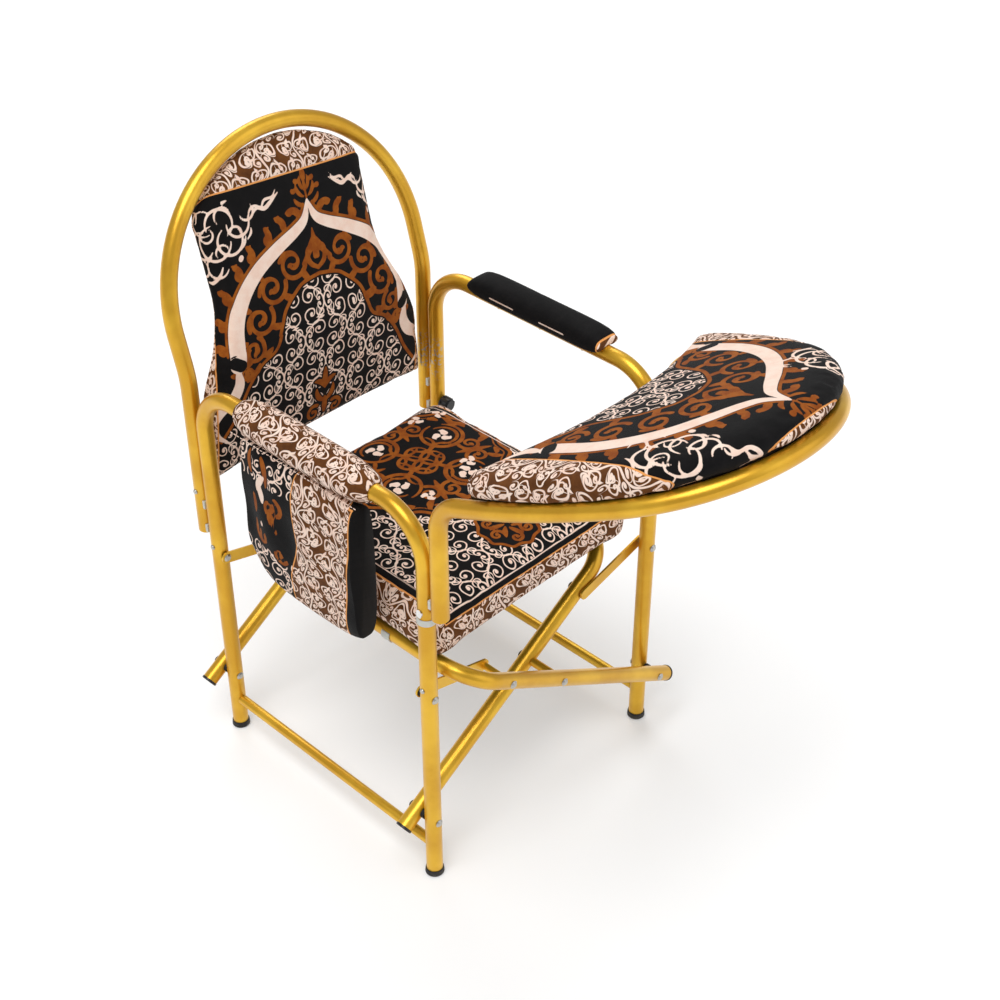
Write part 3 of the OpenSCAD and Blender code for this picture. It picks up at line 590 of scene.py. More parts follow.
def nicheArt(halfWide, tall):
    # Strokes of one arch in its own frame: cream, rust, dark and the outline of the fine net
    sx, sy = halfWide / niche["halfWide"], tall / niche["tall"]
    line = spline(np.array(niche["band"]) * (halfWide, tall, 1), 56)
    cream = [line, spline(niche["foot"], 40)]
    dark = [np.array([(halfWide - 5, -3, 9.5), (halfWide + 6, 4, 9.5)])]
    # Outline beyond the band, with flames
    step = np.gradient(line[:, :2], axis=0)
    side = np.stack([step[:, 1], -step[:, 0]], -1)
    side /= np.linalg.norm(side, axis=1)[:, None]
    if side[0, 0] < 0:
        side = -side
    rim = line[:, :2] + side * (line[:, 2:] + niche["rimGap"])
    rust = [np.column_stack([rim[2:-2], np.full(len(rim) - 4, niche["rimWide"])])]
    length = np.concatenate([[0], np.cumsum(np.linalg.norm(np.diff(rim, axis=0), axis=1))])
    for k, s in enumerate(np.linspace(16, length[-1] - 26, niche["flames"])):
        i = int(np.searchsorted(length, s))
        x, y = rim[i]
        angle = math.degrees(math.atan2(side[i, 1], side[i, 0]))
        up = 40.0 if k < niche["flames"] - 2 else 10.0
        rust.append(leaf(x, y, angle + up, 30, 5.4, -1.3))
        tip = rust[-1][-3, :2]
        rust.append(scroll(tip[0] - 3, tip[1] - 1, 5.0, angle + up - 60, .7, -1, 2.6, 4.4, 12))
        rust.append(leaf(x, y, angle - 12, 17, 3.8, 1.5))
    # Scrolls between the band and the net
    for cx, cy, r, start, hand in niche["scrolls"]:
        x, y = cx * sx, cy * sy
        rust += [scroll(x, y, r, start, 1.35, hand, 3.8, 5.2, 44),
                 scroll(x, y, r, start + 180, .55, hand, 3.2, 4.0, 22),
                 leaf(x + r * .55, y + r * .7, start + 235, 26, 6.0, 1.4),
                 leaf(x - r * .7, y - r * .5, start + 60, 22, 5.4, -1.3)]
    for key, count in (("stem", 20), ("loop", 20), ("bud", 8)):
        rust.append(spline(np.array(niche[key]) * (1, sy, 1), count))
    inner = np.array(niche["inner"]) * (halfWide, tall)
    rust.append(spline(np.column_stack([inner, np.full(len(inner), niche["netLine"])]), 50))
    # Leaves over the point of the arch
    top = tall * 1.02
    rust += [leaf(x, top + y, *rest) for x, y, *rest in niche["crown"]]
    rust += [scroll(15, top + 30, 4.5, 200, .8, 1, 2.0, 3.0, 12),
             scroll(23, top + 17, 4.5, 200, .8, 1, 2.0, 3.0, 12),
             np.array([(0, top, 1.5), (0, top + 26, 2.2)])]
    return mirrored(cream), mirrored(rust), mirrored(dark), inner


def turned(strokes, centre, angle):
    # Moves strokes from the arch's frame to the cloth's, turned clockwise by angle
    c, s = math.cos(math.radians(angle)), math.sin(math.radians(angle))
    out = []
    for p in strokes:
        q = np.array(p, dtype=float)
        q[:, 0] = centre[0] + p[:, 0] * c + p[:, 1] * s
        q[:, 1] = centre[1] - p[:, 0] * s + p[:, 1] * c
        out.append(q)
    return out


def arc(cx, cy, radius, start, end, wide=1.9, squeeze=1.0, steps=22):
    # Arc whose two ends taper
    a = np.radians(np.linspace(start, end, steps))
    w = wide * (0.25 + 0.75 * np.sin(np.linspace(0.12, math.pi - 0.12, steps)) ** 0.7)
    return np.stack([cx + radius * np.cos(a), cy + radius * squeeze * np.sin(a), w], -1)


corner = {
    "arcs": [(-50, 26, 20, 40, 300), (-58, -8, 21, 70, 330, 2.3), (-34, -6, 27, 95, 355, 2.3),
             (-36, -42, 18, 110, 340), (-66, -44, 13, 200, 420), (-22, 20, 23, -40, 195, 2.2),
             (-8, -8, 22, 120, 400, 2.2), (-14, 30, 14, 10, 220, 1.8), (10, 14, 20, 170, 380, 2.2),
             (2, -2, 13, -20, 170, 1.9), (28, 28, 13, 190, 400, 2.1), (-70, 40, 13, -60, 130, 2.0),
             (-46, 8, 11, 150, 420, 1.7), (-24, -22, 11, -10, 210, 1.7), (44, 20, 12, 20, 175, 2.1)],
    "hooks": [(30, [(34, 16, 1.0), (48, 28, 2.6), (62, 24, 3.2), (74, 30, 3.0), (92, 42, 0.8)]),
              (20, [(56, 24, 1.0), (64, 36, 2.2), (80, 38, 1.6), (88, 48, 0.6)]),
              (20, [(-62, -64, 0.8), (-48, -66, 2.8), (-34, -56, 2.2), (-28, -44, 0.8)]),
              (14, [(-82, 12, 0.8), (-80, -6, 2.4), (-86, -22, 0.8)]),
              (12, [(8, -26, 0.8), (16, -18, 2.0), (20, -8, 0.8)]),
              (12, [(22, -14, 0.8), (30, -6, 2.0), (32, 2, 0.8)])],
    "dots": [[(4, -40, 4.0), (5.5, -38, 4.0)], [(-10, 50, 2.6), (-2, 52, 1.2)]],
}


def cornerScrolls(cx, cy, size, hand, tilt=0.0):
    # A group of overlapping cream arcs, hooks and dots, drawn for a size of 1
    marks = [arc(*one) for one in corner["arcs"]] + [spline(hook, count) for count, hook in corner["hooks"]]
    marks += [np.array(dot) for dot in corner["dots"]]
    placed = [mark * (hand * size, size, 0.55 + 0.45 * size) for mark in marks]
    return turned(placed, (cx, cy), -tilt)


# Padded pieces
swell = {"frames": 20, "quality": 3, "stiffness": 18, "bending": 1.2}


def padForm(node, name, pad, path=None):
    # The CAD solid, remeshed evenly, swelled as cloth over foam, smoothed once and kept off its tube
    obj = copyOfNode(node, name)
    obj.data.remesh_voxel_size = pad["voxel"] / 1000.0
    pick(obj)
    bpy.ops.object.voxel_remesh()
    start = getPoints(obj)
    modifier = obj.modifiers.new("swell", "CLOTH")
    s = modifier.settings
    s.use_pressure = True
    s.uniform_pressure_force = pad["pressure"]
    s.effector_weights.gravity = 0.0
    s.quality = swell["quality"]
    s.tension_stiffness = s.compression_stiffness = swell["stiffness"]
    s.bending_stiffness = swell["bending"]
    modifier.collision_settings.use_collision = False
    modifier.point_cache.frame_start, modifier.point_cache.frame_end = 1, swell["frames"]
    scene = bpy.context.scene
    for number in range(1, swell["frames"] + 1):
        scene.frame_set(number)
    end = getPoints(obj.evaluated_get(bpy.context.evaluated_depsgraph_get()))
    pick(obj)
    bpy.ops.object.modifier_remove(modifier="swell")
    scene.frame_set(1)
    move = end - start
    size = np.maximum(np.linalg.norm(move, axis=1), 1e-9)
    setPoints(obj, start + move * (np.minimum(size, pad["cap"]) / size)[:, None])
    split = obj.modifiers.new("finer", "SUBSURF")
    split.levels = split.render_levels = 1
    applyAll(obj)
    if path is not None:
        setPoints(obj, keepClear(getPoints(obj), path, chair["tubeRadius"] + 0.5))
    bpy.ops.object.shade_smooth()
    print("pad form:", name, len(obj.data.vertices), "points")
    return obj


seam = {"wide": 1.9, "deep": 1.1}


def dress(obj, fields, body):
    for name, values in fields.items():
        store(obj, name, values)
    obj.data.materials.append(materials["printed"])
    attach(obj, body)


def finishPad(obj, body, node, fields):
    # The cloth is sewn in along the border line: a shallow groove there
    groove = np.exp(-(fields["border"] / seam["wide"]) ** 2) * seam["deep"]
    setPoints(obj, getPoints(obj) - getNormals(obj) * groove[:, None])
    dress(obj, fields, body)
    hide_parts(node)


def fieldsFor(ax, ay):
    # No print anywhere yet, and the place on the unfolded cloth
    fields = {key: np.full(len(ax), 6.0) for key in printFields}
    fields["cloth"] = np.stack([ax, ay, 0 * ax], -1)
    return fields


def leavePlain(fields, where):
    for key in printFields:
        fields[key][where] = 6.0


def onCloth(x, y, pad):
    # From the piece's plane to the arch's own frame, which sits a little turned on it
    c, s = math.cos(math.radians(pad["turn"])), math.sin(math.radians(pad["turn"]))
    dx, dy = x - pad["frame"][0], y - pad["frame"][1]
    return dx * c - dy * s, dx * s + dy * c


def nicheFields(ax, ay, pad):
    # The arch with its net, the corner scrolls and the border
    cream, rust, dark, inner = nicheArt(pad["halfWide"], pad["tall"])
    for one in pad["corners"]:
        cream += cornerScrolls(*one)
    f = fieldsFor(ax, ay)
    f["cream"] = strokeField(ax, ay, cream)
    f["rust"] = strokeField(ax, ay, rust + pad["plant"])
    f["dark"] = strokeField(ax, ay, dark)
    low = pad["netLow"]
    ring = np.vstack([inner, [low], [(-low[0], low[1])], (inner * (-1, 1))[::-1][:-1]])
    net = areaField(ax, ay, ring) + 1.0
    f["lattice"] = np.maximum(net, np.minimum(2.5 - f["rust"], 6))
    f["border"] = np.clip(np.minimum(pad["borderSide"] - abs(ax), pad["borderTop"] - ay), -6, 6)
    return f


materials = {
    "gold": goldPaint(), "rubber": rubber(), "black": blackPlastic(), "clip": clipPlastic(),
    "rivet": steel("rivet steel", (188, 186, 180), 0.3), "board": boardWood(),
    "chrome": steel("chromed plate", (226, 226, 224), 0.14), "printed": printedCloth(),
}
print("materials made:", len(materials))

# Words in a node's name and the finish that they ask for; all else is painted gold
finishes = [("foot", "rubber"), ("washer", "rubber"), ("cap_", "black"), ("clamp_knob", "black"),
            ("rivet", "rivet"), ("stud", "rivet"), ("screws", "rivet"), ("leg_plate", "chrome"),
            ("leg_band", "clip"), ("seat_clip", "clip"), ("spacers", "clip"), ("table_board", "board")]


def finishOf(name):
    return next((finish for word, finish in finishes if word in name), "gold")


for name, obj in nodes.items():
    obj.data.materials.clear()
    obj.data.materials.append(materials[finishOf(name)])
    if finishOf(name) == "gold":
        pick(obj)
        bpy.ops.object.shade_smooth_by_angle(angle=math.radians(32))
print("finishes on the CAD nodes")

# Back cushion
backPad = {
    "voxel": 4.8, "pressure": 3.0, "cap": 5.0, "frame": (14.0, -27.0), "turn": 5.3, "halfWide": 166.0,
    "tall": 200.0, "borderSide": 204.0, "borderTop": 248.0, "netLow": (260, -260), "face": 9.0,
    "corners": [(-136, 186, 0.95, 1), (124, 190, 0.85, -1)],
    # The small plant at the foot of the net
    "plant": [leaf(0, -92, 90, 34, 5, 0.0), leaf(0, -96, 120, 30, 4.6, 1.4), leaf(0, -96, 60, 30, 4.6, -1.4),
              leaf(0, -118, 150, 34, 4.6, -1.6), leaf(0, -118, 30, 34, 4.6, 1.6),
              scroll(-22, -136, 14, 60, 1.1, 1, 3.2, 4.2), scroll(22, -136, 14, 120, 1.1, -1, 3.2, 4.2),
              leaf(0, -140, 90, 30, 5.4, 0.0)],
}


def makeBack():
    obj = padForm("back_cushion", "back_pad", backPad, backPath())
    normal = getNormals(obj)
    x, up, out = toBack(getPoints(obj))
    high = np.where(up > 0, normal @ backUp, normal[:, 2])
    facing = np.where(up > 0, normal @ backOut, -normal[:, 1])
    depth = np.clip(backPad["face"] - out, 0, 60)
    ax, ay = onCloth(x + normal[:, 0] * depth, up + high * depth, backPad)
    f = nicheFields(ax, ay, backPad)
    f["border"][facing < -0.35] = -6.0  # the rear side is of the border's cloth
    finishPad(obj, "backrest", "back_cushion", f)


# Table cushion
tablePad = {
    "voxel": 4.8, "pressure": 2.4, "cap": 3.5, "frame": (3.0, 143.0), "turn": 2.4, "halfWide": 160.0,
    "tall": 244.0, "borderSide": 187.0, "borderTop": 281.0, "netLow": (300, -260), "face": 40.0,
    "corners": [(-128, 202, 0.92, 1, 42), (118, 222, 0.85, -1, -58)], "plant": [],
    "bulge": 7.0, "bulgeFrom": 130.0, "bulgeOver": 70.0,
    "half": 239.4, "near": 50.0, "corner": 28.0, "cornerTurn": 116.6,
}


def bulgeOut(p):
    # The cushion's outer rim bulges over the hoop
    x, up, _ = toTable(p)
    beyond = np.maximum(0, up - chair["tableStraight"] - archRise)
    reach = np.maximum(np.hypot(x, beyond), 1.0)
    bulge = tablePad["bulge"] * smooth((reach - tablePad["bulgeFrom"]) / tablePad["bulgeOver"]) / reach
    return p + onTable(bulge * x, bulge * beyond)


def roundCorners(p):
    # Its two near corners are drawn in to an arc
    x, up, _ = toTable(p)
    turn, radius = math.radians(tablePad["cornerTurn"]), tablePad["corner"]
    cx = tablePad["half"] + tablePad["bulge"] - radius
    cy = tablePad["near"] + (radius + (cx - tablePad["half"]) * math.cos(turn)) / math.sin(turn)
    dx, dy = abs(x) - cx, up - cy
    around = np.arctan2(-dy, dx)
    share = np.maximum(np.cos(around), np.cos(turn - around))
    pull = np.where((around > 0) & (around < turn), share, 1.0) - 1.0
    return p + onTable(np.sign(x) * dx * pull, dy * pull)


def makeTable():
    obj = padForm("table_cushion", "table_pad", tablePad)
    p = getPoints(obj)
    floor = chair["tubeRadius"] + chair["gap"] + 0.2
    p += np.maximum(0, floor - toTable(p)[2])[:, None] * tableOut
    p = roundCorners(bulgeOut(p))
    setPoints(obj, p)
    normal = getNormals(obj)
    x, up, out = toTable(p)
    facing = normal @ tableOut
    depth = np.clip(tablePad["face"] - out, 0, tablePad["face"])
    depth /= np.where(facing < 0, np.maximum(np.sqrt(np.maximum(0, 1 - facing ** 2)), 0.3), 1.0)
    ax, ay = onCloth(x + normal[:, 0] * depth, up + (normal @ tableUp) * depth, tablePad)
    f = nicheFields(ax, ay, tablePad)
    leavePlain(f, facing < -0.9)
    finishPad(obj, "table", "table_cushion", f)


# Seat cushion
seatPad = {
    "voxel": 4.8, "pressure": 3.0, "cap": 6.0, "top": 446.0, "halfWide": 215.0,
    "left": 186.0, "right": -178.0, "front": -60.0, "rear": 352.0, "band": 12.0,
    "medallion": (48.0, 225.0, 140.0), "second": (25.0, 20.0, 48.0),
    "blossoms": [(123, 316, 11, 30), (163, 303, 10, 200), (98, 172, 11, 120), (-8, 150, 10, 240)],
}


def ringOf(cx, cy, radius, lobes, depth, wide):
    # A closed scalloped line
    a = np.linspace(0, 2 * math.pi, 160, endpoint=False)
    r = radius * (1 - depth * abs(np.cos(a * lobes / 2)) ** 1.5)
    ring = np.stack([cx + r * np.cos(a), cy + r * np.sin(a), 0 * a + wide], -1)
    return np.vstack([ring, ring[:1]])


def away(x, y, distance, angle, aside=0.0):
    # The point at a distance and an angle from x, y, shifted aside at right angles
    c, s = math.cos(math.radians(angle)), math.sin(math.radians(angle))
    return x + distance * c - aside * s, y + distance * s + aside * c


def medallionArt(cx, cy, r):
    thick = r * 0.021
    rust = [ringOf(cx, cy, r, 16, 0.06, r * 0.022), ringOf(cx, cy, r * 0.93, 16, 0.06, r * 0.009)]
    cream = []
    for k in range(4):
        # A round eye with a blossom, then the scrolls of the cross between two eyes
        deg = 21 + 90 * k
        x, y = away(cx, cy, r * .55, deg)
        tip = away(x, y, r * .24, deg)
        rust += [arc(x, y, r * .235, deg + 60, deg + 385, thick * 1.25, 1.0, 40),
                 arc(x, y, r * .17, deg - 160, deg + 60, thick, 1.0, 26),
                 leaf(*tip, deg + 35, r * .2, thick * 1.9, 1.1),
                 leaf(*tip, deg - 35, r * .2, thick * 1.9, -1.1)]
        cream += blossom(x, y, r * .095, deg)
        deg += 45
        for hand in (1, -1):
            x, y = away(cx, cy, r * .62, deg, hand * r * .13)
            rust += [scroll(x, y, r * .13, deg + 180, 1.25, hand, thick * 1.2, thick * 1.9, 36),
                     leaf(*away(x, y, r * .12, deg), deg + hand * 50, r * .17, thick * 1.8, -hand * 1.3),
                     arc(*away(cx, cy, r * .3, deg, hand * r * .1), r * .15, deg + hand * 40,
                         deg + hand * 250, thick)]
        rust += [leaf(*away(cx, cy, r * .42, deg), deg, r * .42, thick * 1.7, 0.0),
                 arc(*away(cx, cy, r * .13, deg), r * .13, 0, 360, thick, 1.0, 30)]
    for k in range(16):
        x, y = away(cx, cy, r * .84, 22.5 * k + 11)
        rust.append(leaf(x, y, 22.5 * k + 81, r * .13, thick * 1.5, 1.2))
    return rust, cream


def smallMedallion(cx, cy, r):
    out = [ringOf(cx, cy, r, 10, 0.09, 2.4)]
    for k in range(6):
        a = 60 * k + 12
        out += [scroll(*away(cx, cy, r * .6, a), r * .23, a + 150, 1.1, 1 if k % 2 else -1, 2.6, 4.0, 26),
                leaf(*away(cx, cy, r * .12, a), a + 30, r * .5, 4.0, 0.4)]
    return out


def blossom(x, y, size, angle):
    # Three drop-shaped petals
    out = []
    for k in range(3):
        turn = angle + k * 120
        foot = away(x, y, size * .62, turn)
        bend, tip = away(*foot, size * .5, turn + 51.6), away(*foot, size * .8, turn + 80.2)
        out.append(np.array([(*foot, size * .46), (*bend, size * .3), (*tip, size * .08)]))
    return out


def makeSeat():
    obj = padForm("seat_cushion", "seat_pad", seatPad)
    p = getPoints(obj)
    p[:, 2] = np.maximum(p[:, 2], chair["seatFloor"] + 0.2)
    p[:, 0] = np.clip(p[:, 0], -seatPad["halfWide"], seatPad["halfWide"])
    setPoints(obj, p)
    normal = getNormals(obj)
    depth = np.clip(seatPad["top"] - p[:, 2], 0, 70)
    ax, ay = p[:, 0] + normal[:, 0] * depth, p[:, 1] + normal[:, 1] * depth
    rust, cream = medallionArt(*seatPad["medallion"])
    for one in seatPad["blossoms"]:
        cream += blossom(*one)
    # A thin cream line runs inside the black band, and the border outside it
    left, right, front, rear, band = (seatPad[k] for k in ("left", "right", "front", "rear", "band"))
    x0, x1, y0, y1 = right + band, left - band, front + band, rear - band
    cream.append(np.array([(x0, y0, 1.1), (x1, y0, 1.1), (x1, y1, 1.1), (x0, y1, 1.1), (x0, y0, 1.1)]))
    f = fieldsFor(ax, ay)
    f["rust"] = strokeField(ax, ay, rust + smallMedallion(*seatPad["second"]))
    f["cream"] = strokeField(ax, ay, cream)
    net = [1.5 - np.minimum.reduce([ax - x0, x1 - ax, ay - y0, y1 - ay])]
    for (cx, cy, r), more in ((seatPad["medallion"], 1), (seatPad["second"], 0)):
        net.append(r + more - np.hypot(ax - cx, ay - cy))
    f["lattice"] = np.clip(np.maximum.reduce(net), -6, 6)
    f["border"] = np.clip(np.minimum.reduce([ax - right, left - ax, ay - front, rear - ay]), -6, 6)
    leavePlain(f, normal[:, 2] < -0.5)
    finishPad(obj, "seat", "seat_cushion", f)
    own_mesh(obj)


# Arm pads
rollPad = {"voxel": 3.6, "pressure": 2.0, "cap": 2.5, "round": 29.0}
leftPad = {"voxel": 3.6, "pressure": 2.5, "cap": 3.0, "dashes": [(130, 82), (232, 184)], "dashHeight": 16,
           "borderFrom": 20.5}


def makeRoll():
    obj = padForm("arm_pad_right", "arm_roll", rollPad, armPath(-1))
    p = getPoints(obj)
    around = np.arctan2(p[:, 0] + chair["halfX"], p[:, 2] - chair["armHeight"]) * rollPad["round"]
    f = fieldsFor(p[:, 1], around)
    f["border"][:] = -6.0
    finishPad(obj, "right_side", "arm_pad_right", f)


def makeLeftPad():
    obj = padForm("arm_pad_left", "arm_block", leftPad, armPath(1))
    x, y, z = (getPoints(obj) - (chair["halfX"], 0, chair["armHeight"])).T
    # Two pale dashes of the print show along the inner edge, and the border at the front end
    high = leftPad["dashHeight"]
    dashes = [np.array([(a, high, 1.2), (b, high, 1.2)]) for a, b in leftPad["dashes"]]
    f = fieldsFor(y, x - z)
    f["cream"] = np.where(x < -10, strokeField(y, z, dashes), 6.0)
    f["border"] = np.clip(y - leftPad["borderFrom"], -6, 6)
    finishPad(obj, "left_side", "arm_pad_left", f)


# Side pocket
pocket = {
    "front": 121.0, "rear": 114.0, "low": 400.0, "top": 637.3, "half": 21.0, "x": 246.0, "wall": 1.8,
    "along": 96, "round": 120, "lift": 45.0, "taper": 0.3, "fold": 3.0, "gather": 1.7, "crease": 1.5,
    "mouthDepth": 40.0, "mouthEnds": (22.0, 26.0), "rim": 10.0,
    "frontLine": (50.0, 29.0, 33.5), "cornerX": 257.0,
    "rearLine": ([426, 456, 517, 599, 668], [166, 165, 147, 155, 142]), "net": (478.0, 590.0),
    "rust": [scroll(196, 560, 20, 120, 1.2, 1, 4.0, 5.0, 34), leaf(205, 590, 80, 46, 6, -0.6),
             scroll(222, 500, 18, 60, 1.2, -1, 4.0, 5.0, 34), leaf(188, 520, 60, 40, 6, 0.8),
             scroll(185, 480, 14, 200, 1.1, 1, 3.4, 4.4), leaf(235, 530, 100, 40, 5, -0.7),
             leaf(238, 600, 70, 36, 5, 0.8)],
    "cream": [leaf(214, 560, 75, 30, 6.5, -1.0), leaf(226, 575, 105, 34, 6.0, 0.9),
              leaf(206, 505, 40, 26, 5.0, 1.2)],
}


def pocketLoop(y, a):
    # One upright loop of the pocket's wall at y along the arm, with its folds
    low, top = pocket["low"] + pocket["lift"] * (abs(y + 22) / 137) ** 4, pocket["top"]
    half = pocket["half"] * (1 - pocket["taper"] * (max(0.0, y) / pocket["rear"]) ** 3)
    c, s = np.cos(a), np.sin(a)
    z = (low + top) / 2 + np.sign(s) * abs(s) ** 0.6 * (top - low) / 2
    rise = np.clip((z - pocket["low"]) / (top - pocket["low"]), 0, 1)
    folds = pocket["fold"] * np.sin(math.radians(4.2) * (y + 40) + 1.4 * rise) * np.sin(math.pi * rise)
    folds += pocket["gather"] * np.sin(y / 8.0 + 4 * rise) * smooth((rise - 0.62) / 0.3)
    folds += pocket["crease"] * np.sin(y / 15.0 - z / 19.0) * np.sin(math.pi * rise)
    x = -pocket["x"] + np.sign(c) * abs(c) ** 0.55 * half - np.where(c < -0.01, folds, 0)
    return np.stack([x, 0 * x + chair["midY"] + y, z], -1)


def inMouth(x, y, z):
    # The opening on the seat's side, below the top rim
    ends = pocket["mouthEnds"]
    along = chair["midY"] - pocket["front"] + ends[0] < y < chair["midY"] + pocket["rear"] - ends[1]
    return x > -pocket["x"] + 4 and along and -pocket["mouthDepth"] < z - pocket["top"] <= -pocket["rim"]


def pocketFields(p):
    x, y, z = p.T
    f = fieldsFor(y, z + 0.35 * x)
    start, slope, least = pocket["frontLine"]
    frontLine = np.maximum(start - slope * (z - 428.0) / 241.0, least)
    rearLine = np.interp(z, *pocket["rearLine"])
    corner = -x - pocket["cornerX"] + 2 * np.maximum(0, y - 40)
    f["border"] = np.clip(-np.minimum.reduce([y - frontLine, rearLine - y, corner]), -6, 6)
    # Behind the rear line the cloth shows scrolls, with the fine net above and below them
    rear, (low, high) = y > rearLine, pocket["net"]
    f["rust"] = np.where(rear, strokeField(y, z, pocket["rust"]), 6.0)
    f["cream"] = np.where(rear, strokeField(y, z, pocket["cream"]), 6.0)
    net = np.where((z > high) | (z < low), -4.0, 4.0)
    f["lattice"] = np.where(rear, np.maximum(net, 2.5 - f["rust"]), 6.0)
    return f


def makePocket():
    n, m = pocket["along"], pocket["round"]
    t, a = np.linspace(0, 1, n + 1), np.linspace(0, 2 * math.pi, m, endpoint=False)
    along = -pocket["front"] + (pocket["front"] + pocket["rear"]) * (1 - np.cos(math.pi * t)) / 2
    points = np.vstack([pocketLoop(y, a) for y in along])
    first, last = len(points), len(points) + 1
    ring = [(j, (j + 1) % m) for j in range(m)]
    faces = [(k * m + j, k * m + i, (k + 1) * m + i, (k + 1) * m + j) for k in range(n) for j, i in ring]
    for j, i in ring:
        faces += [(first, i, j), (last, n * m + j, n * m + i)]
    points = np.vstack([points, points[:m].mean(0), points[-m:].mean(0)])
    faces = [face for face in faces if not inMouth(*points[list(face)].mean(0))]
    mesh = bpy.data.meshes.new("side_bag")
    mesh.from_pydata([tuple(q / 1000.0) for q in points], [], faces)
    obj = newObject("side_bag", mesh)
    editAll(obj)
    bpy.ops.mesh.normals_make_consistent(inside=False)
    bpy.ops.object.mode_set(mode="OBJECT")
    wall = obj.modifiers.new("wall", "SOLIDIFY")
    wall.thickness, wall.offset = pocket["wall"] / 1000.0, -1.0
    applyAll(obj)
    bpy.ops.object.shade_smooth()
    dress(obj, pocketFields(getPoints(obj)), "right_side")
    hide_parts("side_pocket")


# Zip beside the pocket and stitches under the roll
rows = {
    "pocket_zip": {"start": (-229.0, 32.5, 452.0), "size": (3.2, 2.6, 1.9), "step": (0, 0, 3.3),
                   "count": 52},
    "roll_stitch": {"start": (-262.6, 22.0, 648.0), "size": (1.0, 4.4, 1.1), "step": (0, 7.0, 0),
                    "count": 37},
}


def makeRow(name):
    r = rows[name]
    bpy.ops.object.select_all(action="DESELECT")
    bpy.ops.mesh.primitive_cube_add(size=0.001, location=(0, 0, 0))
    obj = bpy.context.active_object
    obj.name = name
    editAll(obj)
    bpy.ops.transform.resize(value=r["size"])
    bpy.ops.mesh.bevel(offset=0.0003, segments=2)
    bpy.ops.transform.translate(value=tuple(v / 1000.0 for v in r["start"]))
    bpy.ops.object.mode_set(mode="OBJECT")
    repeat = obj.modifiers.new("repeat", "ARRAY")
    repeat.use_relative_offset, repeat.use_constant_offset = False, True
    repeat.constant_offset_displace = tuple(v / 1000.0 for v in r["step"])
    repeat.count = r["count"]
    applyAll(obj)
    bpy.ops.object.shade_smooth_by_angle(angle=math.radians(40))
    return obj


def makeRows():
    teeth = makeRow("pocket_zip")
    teeth.data.materials.append(materials["black"])
    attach(teeth, "right_side")
    stitches = makeRow("roll_stitch")
    p = getPoints(stitches)
    fields = fieldsFor(p[:, 0], p[:, 1])
    fields["cream"][:] = -6.0
    fields["cloth"] = p
    dress(stitches, fields, "right_side")


for make in (makeRows, makeBack, makeTable, makeSeat, makeRoll, makeLeftPad, makePocket):
    make()
print("soft pieces made")

# Floor, light and camera
# Each lamp has its place, its strength and how wide it is in degrees
studio = {
    "floorSize": 30.0, "floorShade": (0.8, 0.8, 0.8), "floorGlow": 0.19, "world": 0.47,
    "lamps": {"key": ((-1.2, -0.6, 3.2), 1.7, 40.0), "fill": ((1.6, -2.9, 1.7), 0.45, 50.0),
              "rim": ((1.6, 2.6, 2.4), 0.7, 34.0)},
}
view = {"azimuth": -46.107, "elevation": 37.103, "distance": 3.21907, "target": (0.41355, 0.40891, 0.09161),
        "focal": 1.74892, "sensor": 36.0, "far": 60.0}


def seenBy(tree, *rays):
    # 1 for the rays that show a backdrop, 0 for those that light the chair
    path = addNode(tree, "LightPath")
    seen = Wire(tree, path.outputs[rays[0]])
    for ray in rays[1:]:
        seen = seen.high(Wire(tree, path.outputs[ray]))
    return seen


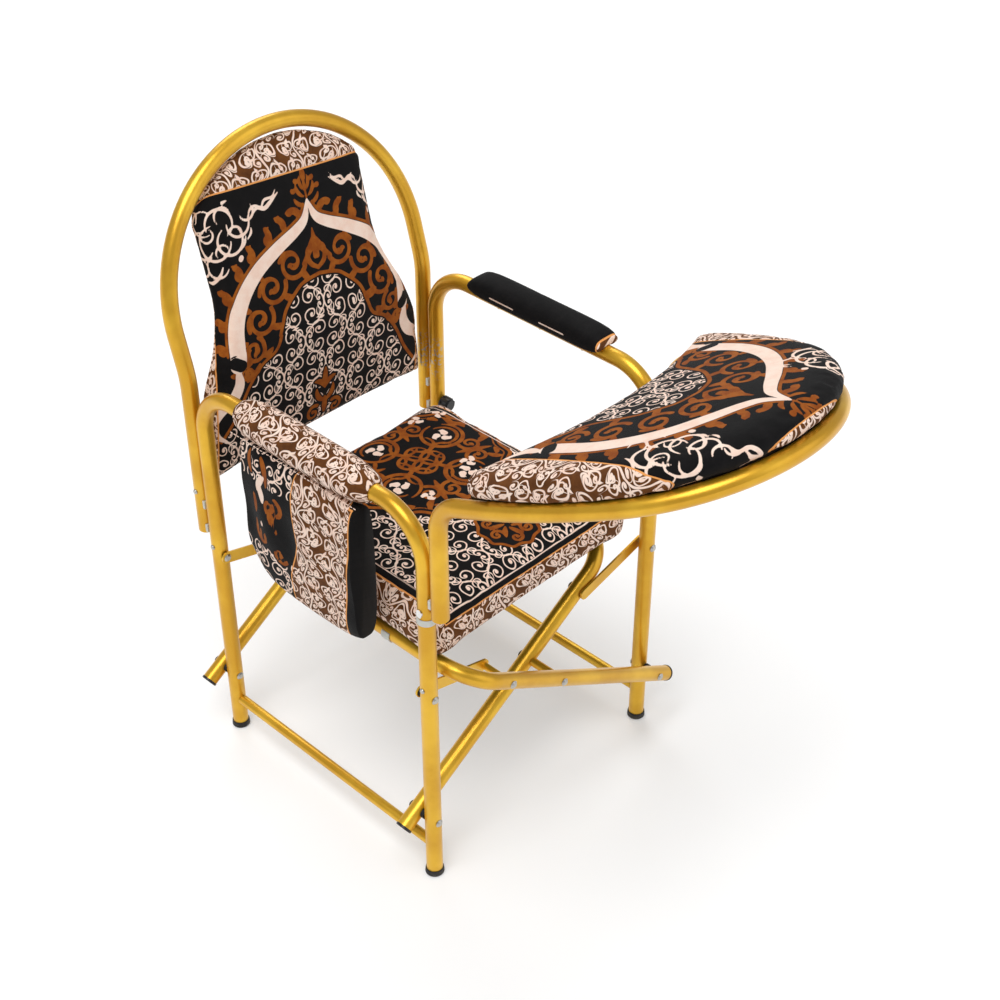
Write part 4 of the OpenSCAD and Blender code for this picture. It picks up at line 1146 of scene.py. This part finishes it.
def makeFloor():
    bpy.ops.object.select_all(action="DESELECT")
    bpy.ops.mesh.primitive_plane_add(size=studio["floorSize"], location=(0, 0, -0.0005))
    floor = pick(bpy.context.active_object)
    floor.name = "studio_floor"
    bpy.ops.object.transform_apply(location=True, rotation=True, scale=True)
    m = bpy.data.materials.new("studio floor")
    m.use_nodes = True
    tree = m.node_tree
    tree.nodes.clear()
    seen = seenBy(tree, "Is Camera Ray", "Is Glossy Ray", "Is Transmission Ray") * studio["floorGlow"]
    diffuse = addNode(tree, "BsdfDiffuse", None, {"Color": studio["floorShade"]})
    glow = addNode(tree, "Emission", None, {"Color": (1, 1, 1), "Strength": seen})
    both = addNode(tree, "AddShader", None, {0: diffuse.outputs[0], 1: glow.outputs[0]})
    addNode(tree, "OutputMaterial", None, {"Surface": both.outputs[0]})
    floor.data.materials.append(m)


def lookAlong(name, data, place, back):
    # A lamp or camera at place that looks against the direction back
    obj = newObject(name, data)
    obj.location = place
    obj.rotation_euler = (-back).to_track_quat("-Z", "Y").to_euler()
    return obj


def makeLight():
    # Far, wide lamps light the floor evenly, and the world fills the shadows
    for name, (place, strength, angle) in studio["lamps"].items():
        light = bpy.data.lights.new(name + " light", "SUN")
        light.angle, light.energy = math.radians(angle), strength
        lookAlong(name + " light", light, Vector(place), Vector(place))
    world = bpy.context.scene.world or bpy.data.worlds.new("studio")
    bpy.context.scene.world = world
    world.use_nodes = True
    backdrop = world.node_tree.nodes["Background"]
    plug(world.node_tree, (1, 1, 1), backdrop.inputs["Color"])
    shown = seenBy(world.node_tree, "Is Camera Ray", "Is Transmission Ray")
    level = shown * (1.0 - studio["world"]) + studio["world"]
    plug(world.node_tree, level, backdrop.inputs["Strength"])


def makeCamera():
    turn, rise = math.radians(view["azimuth"]), math.radians(view["elevation"])
    back = Vector((math.sin(turn) * math.cos(rise), -math.cos(turn) * math.cos(rise), math.sin(rise)))
    camera = bpy.data.cameras.new("camera")
    camera.sensor_width = view["sensor"]
    camera.lens = view["focal"] * view["sensor"]
    camera.clip_end = view["far"]
    place = Vector(view["target"]) + back * view["distance"]
    bpy.context.scene.camera = lookAlong("camera", camera, place, back)


makeFloor()
makeLight()
makeCamera()
bpy.context.scene.view_settings.view_transform = "Standard"
print("floor, light and camera set")
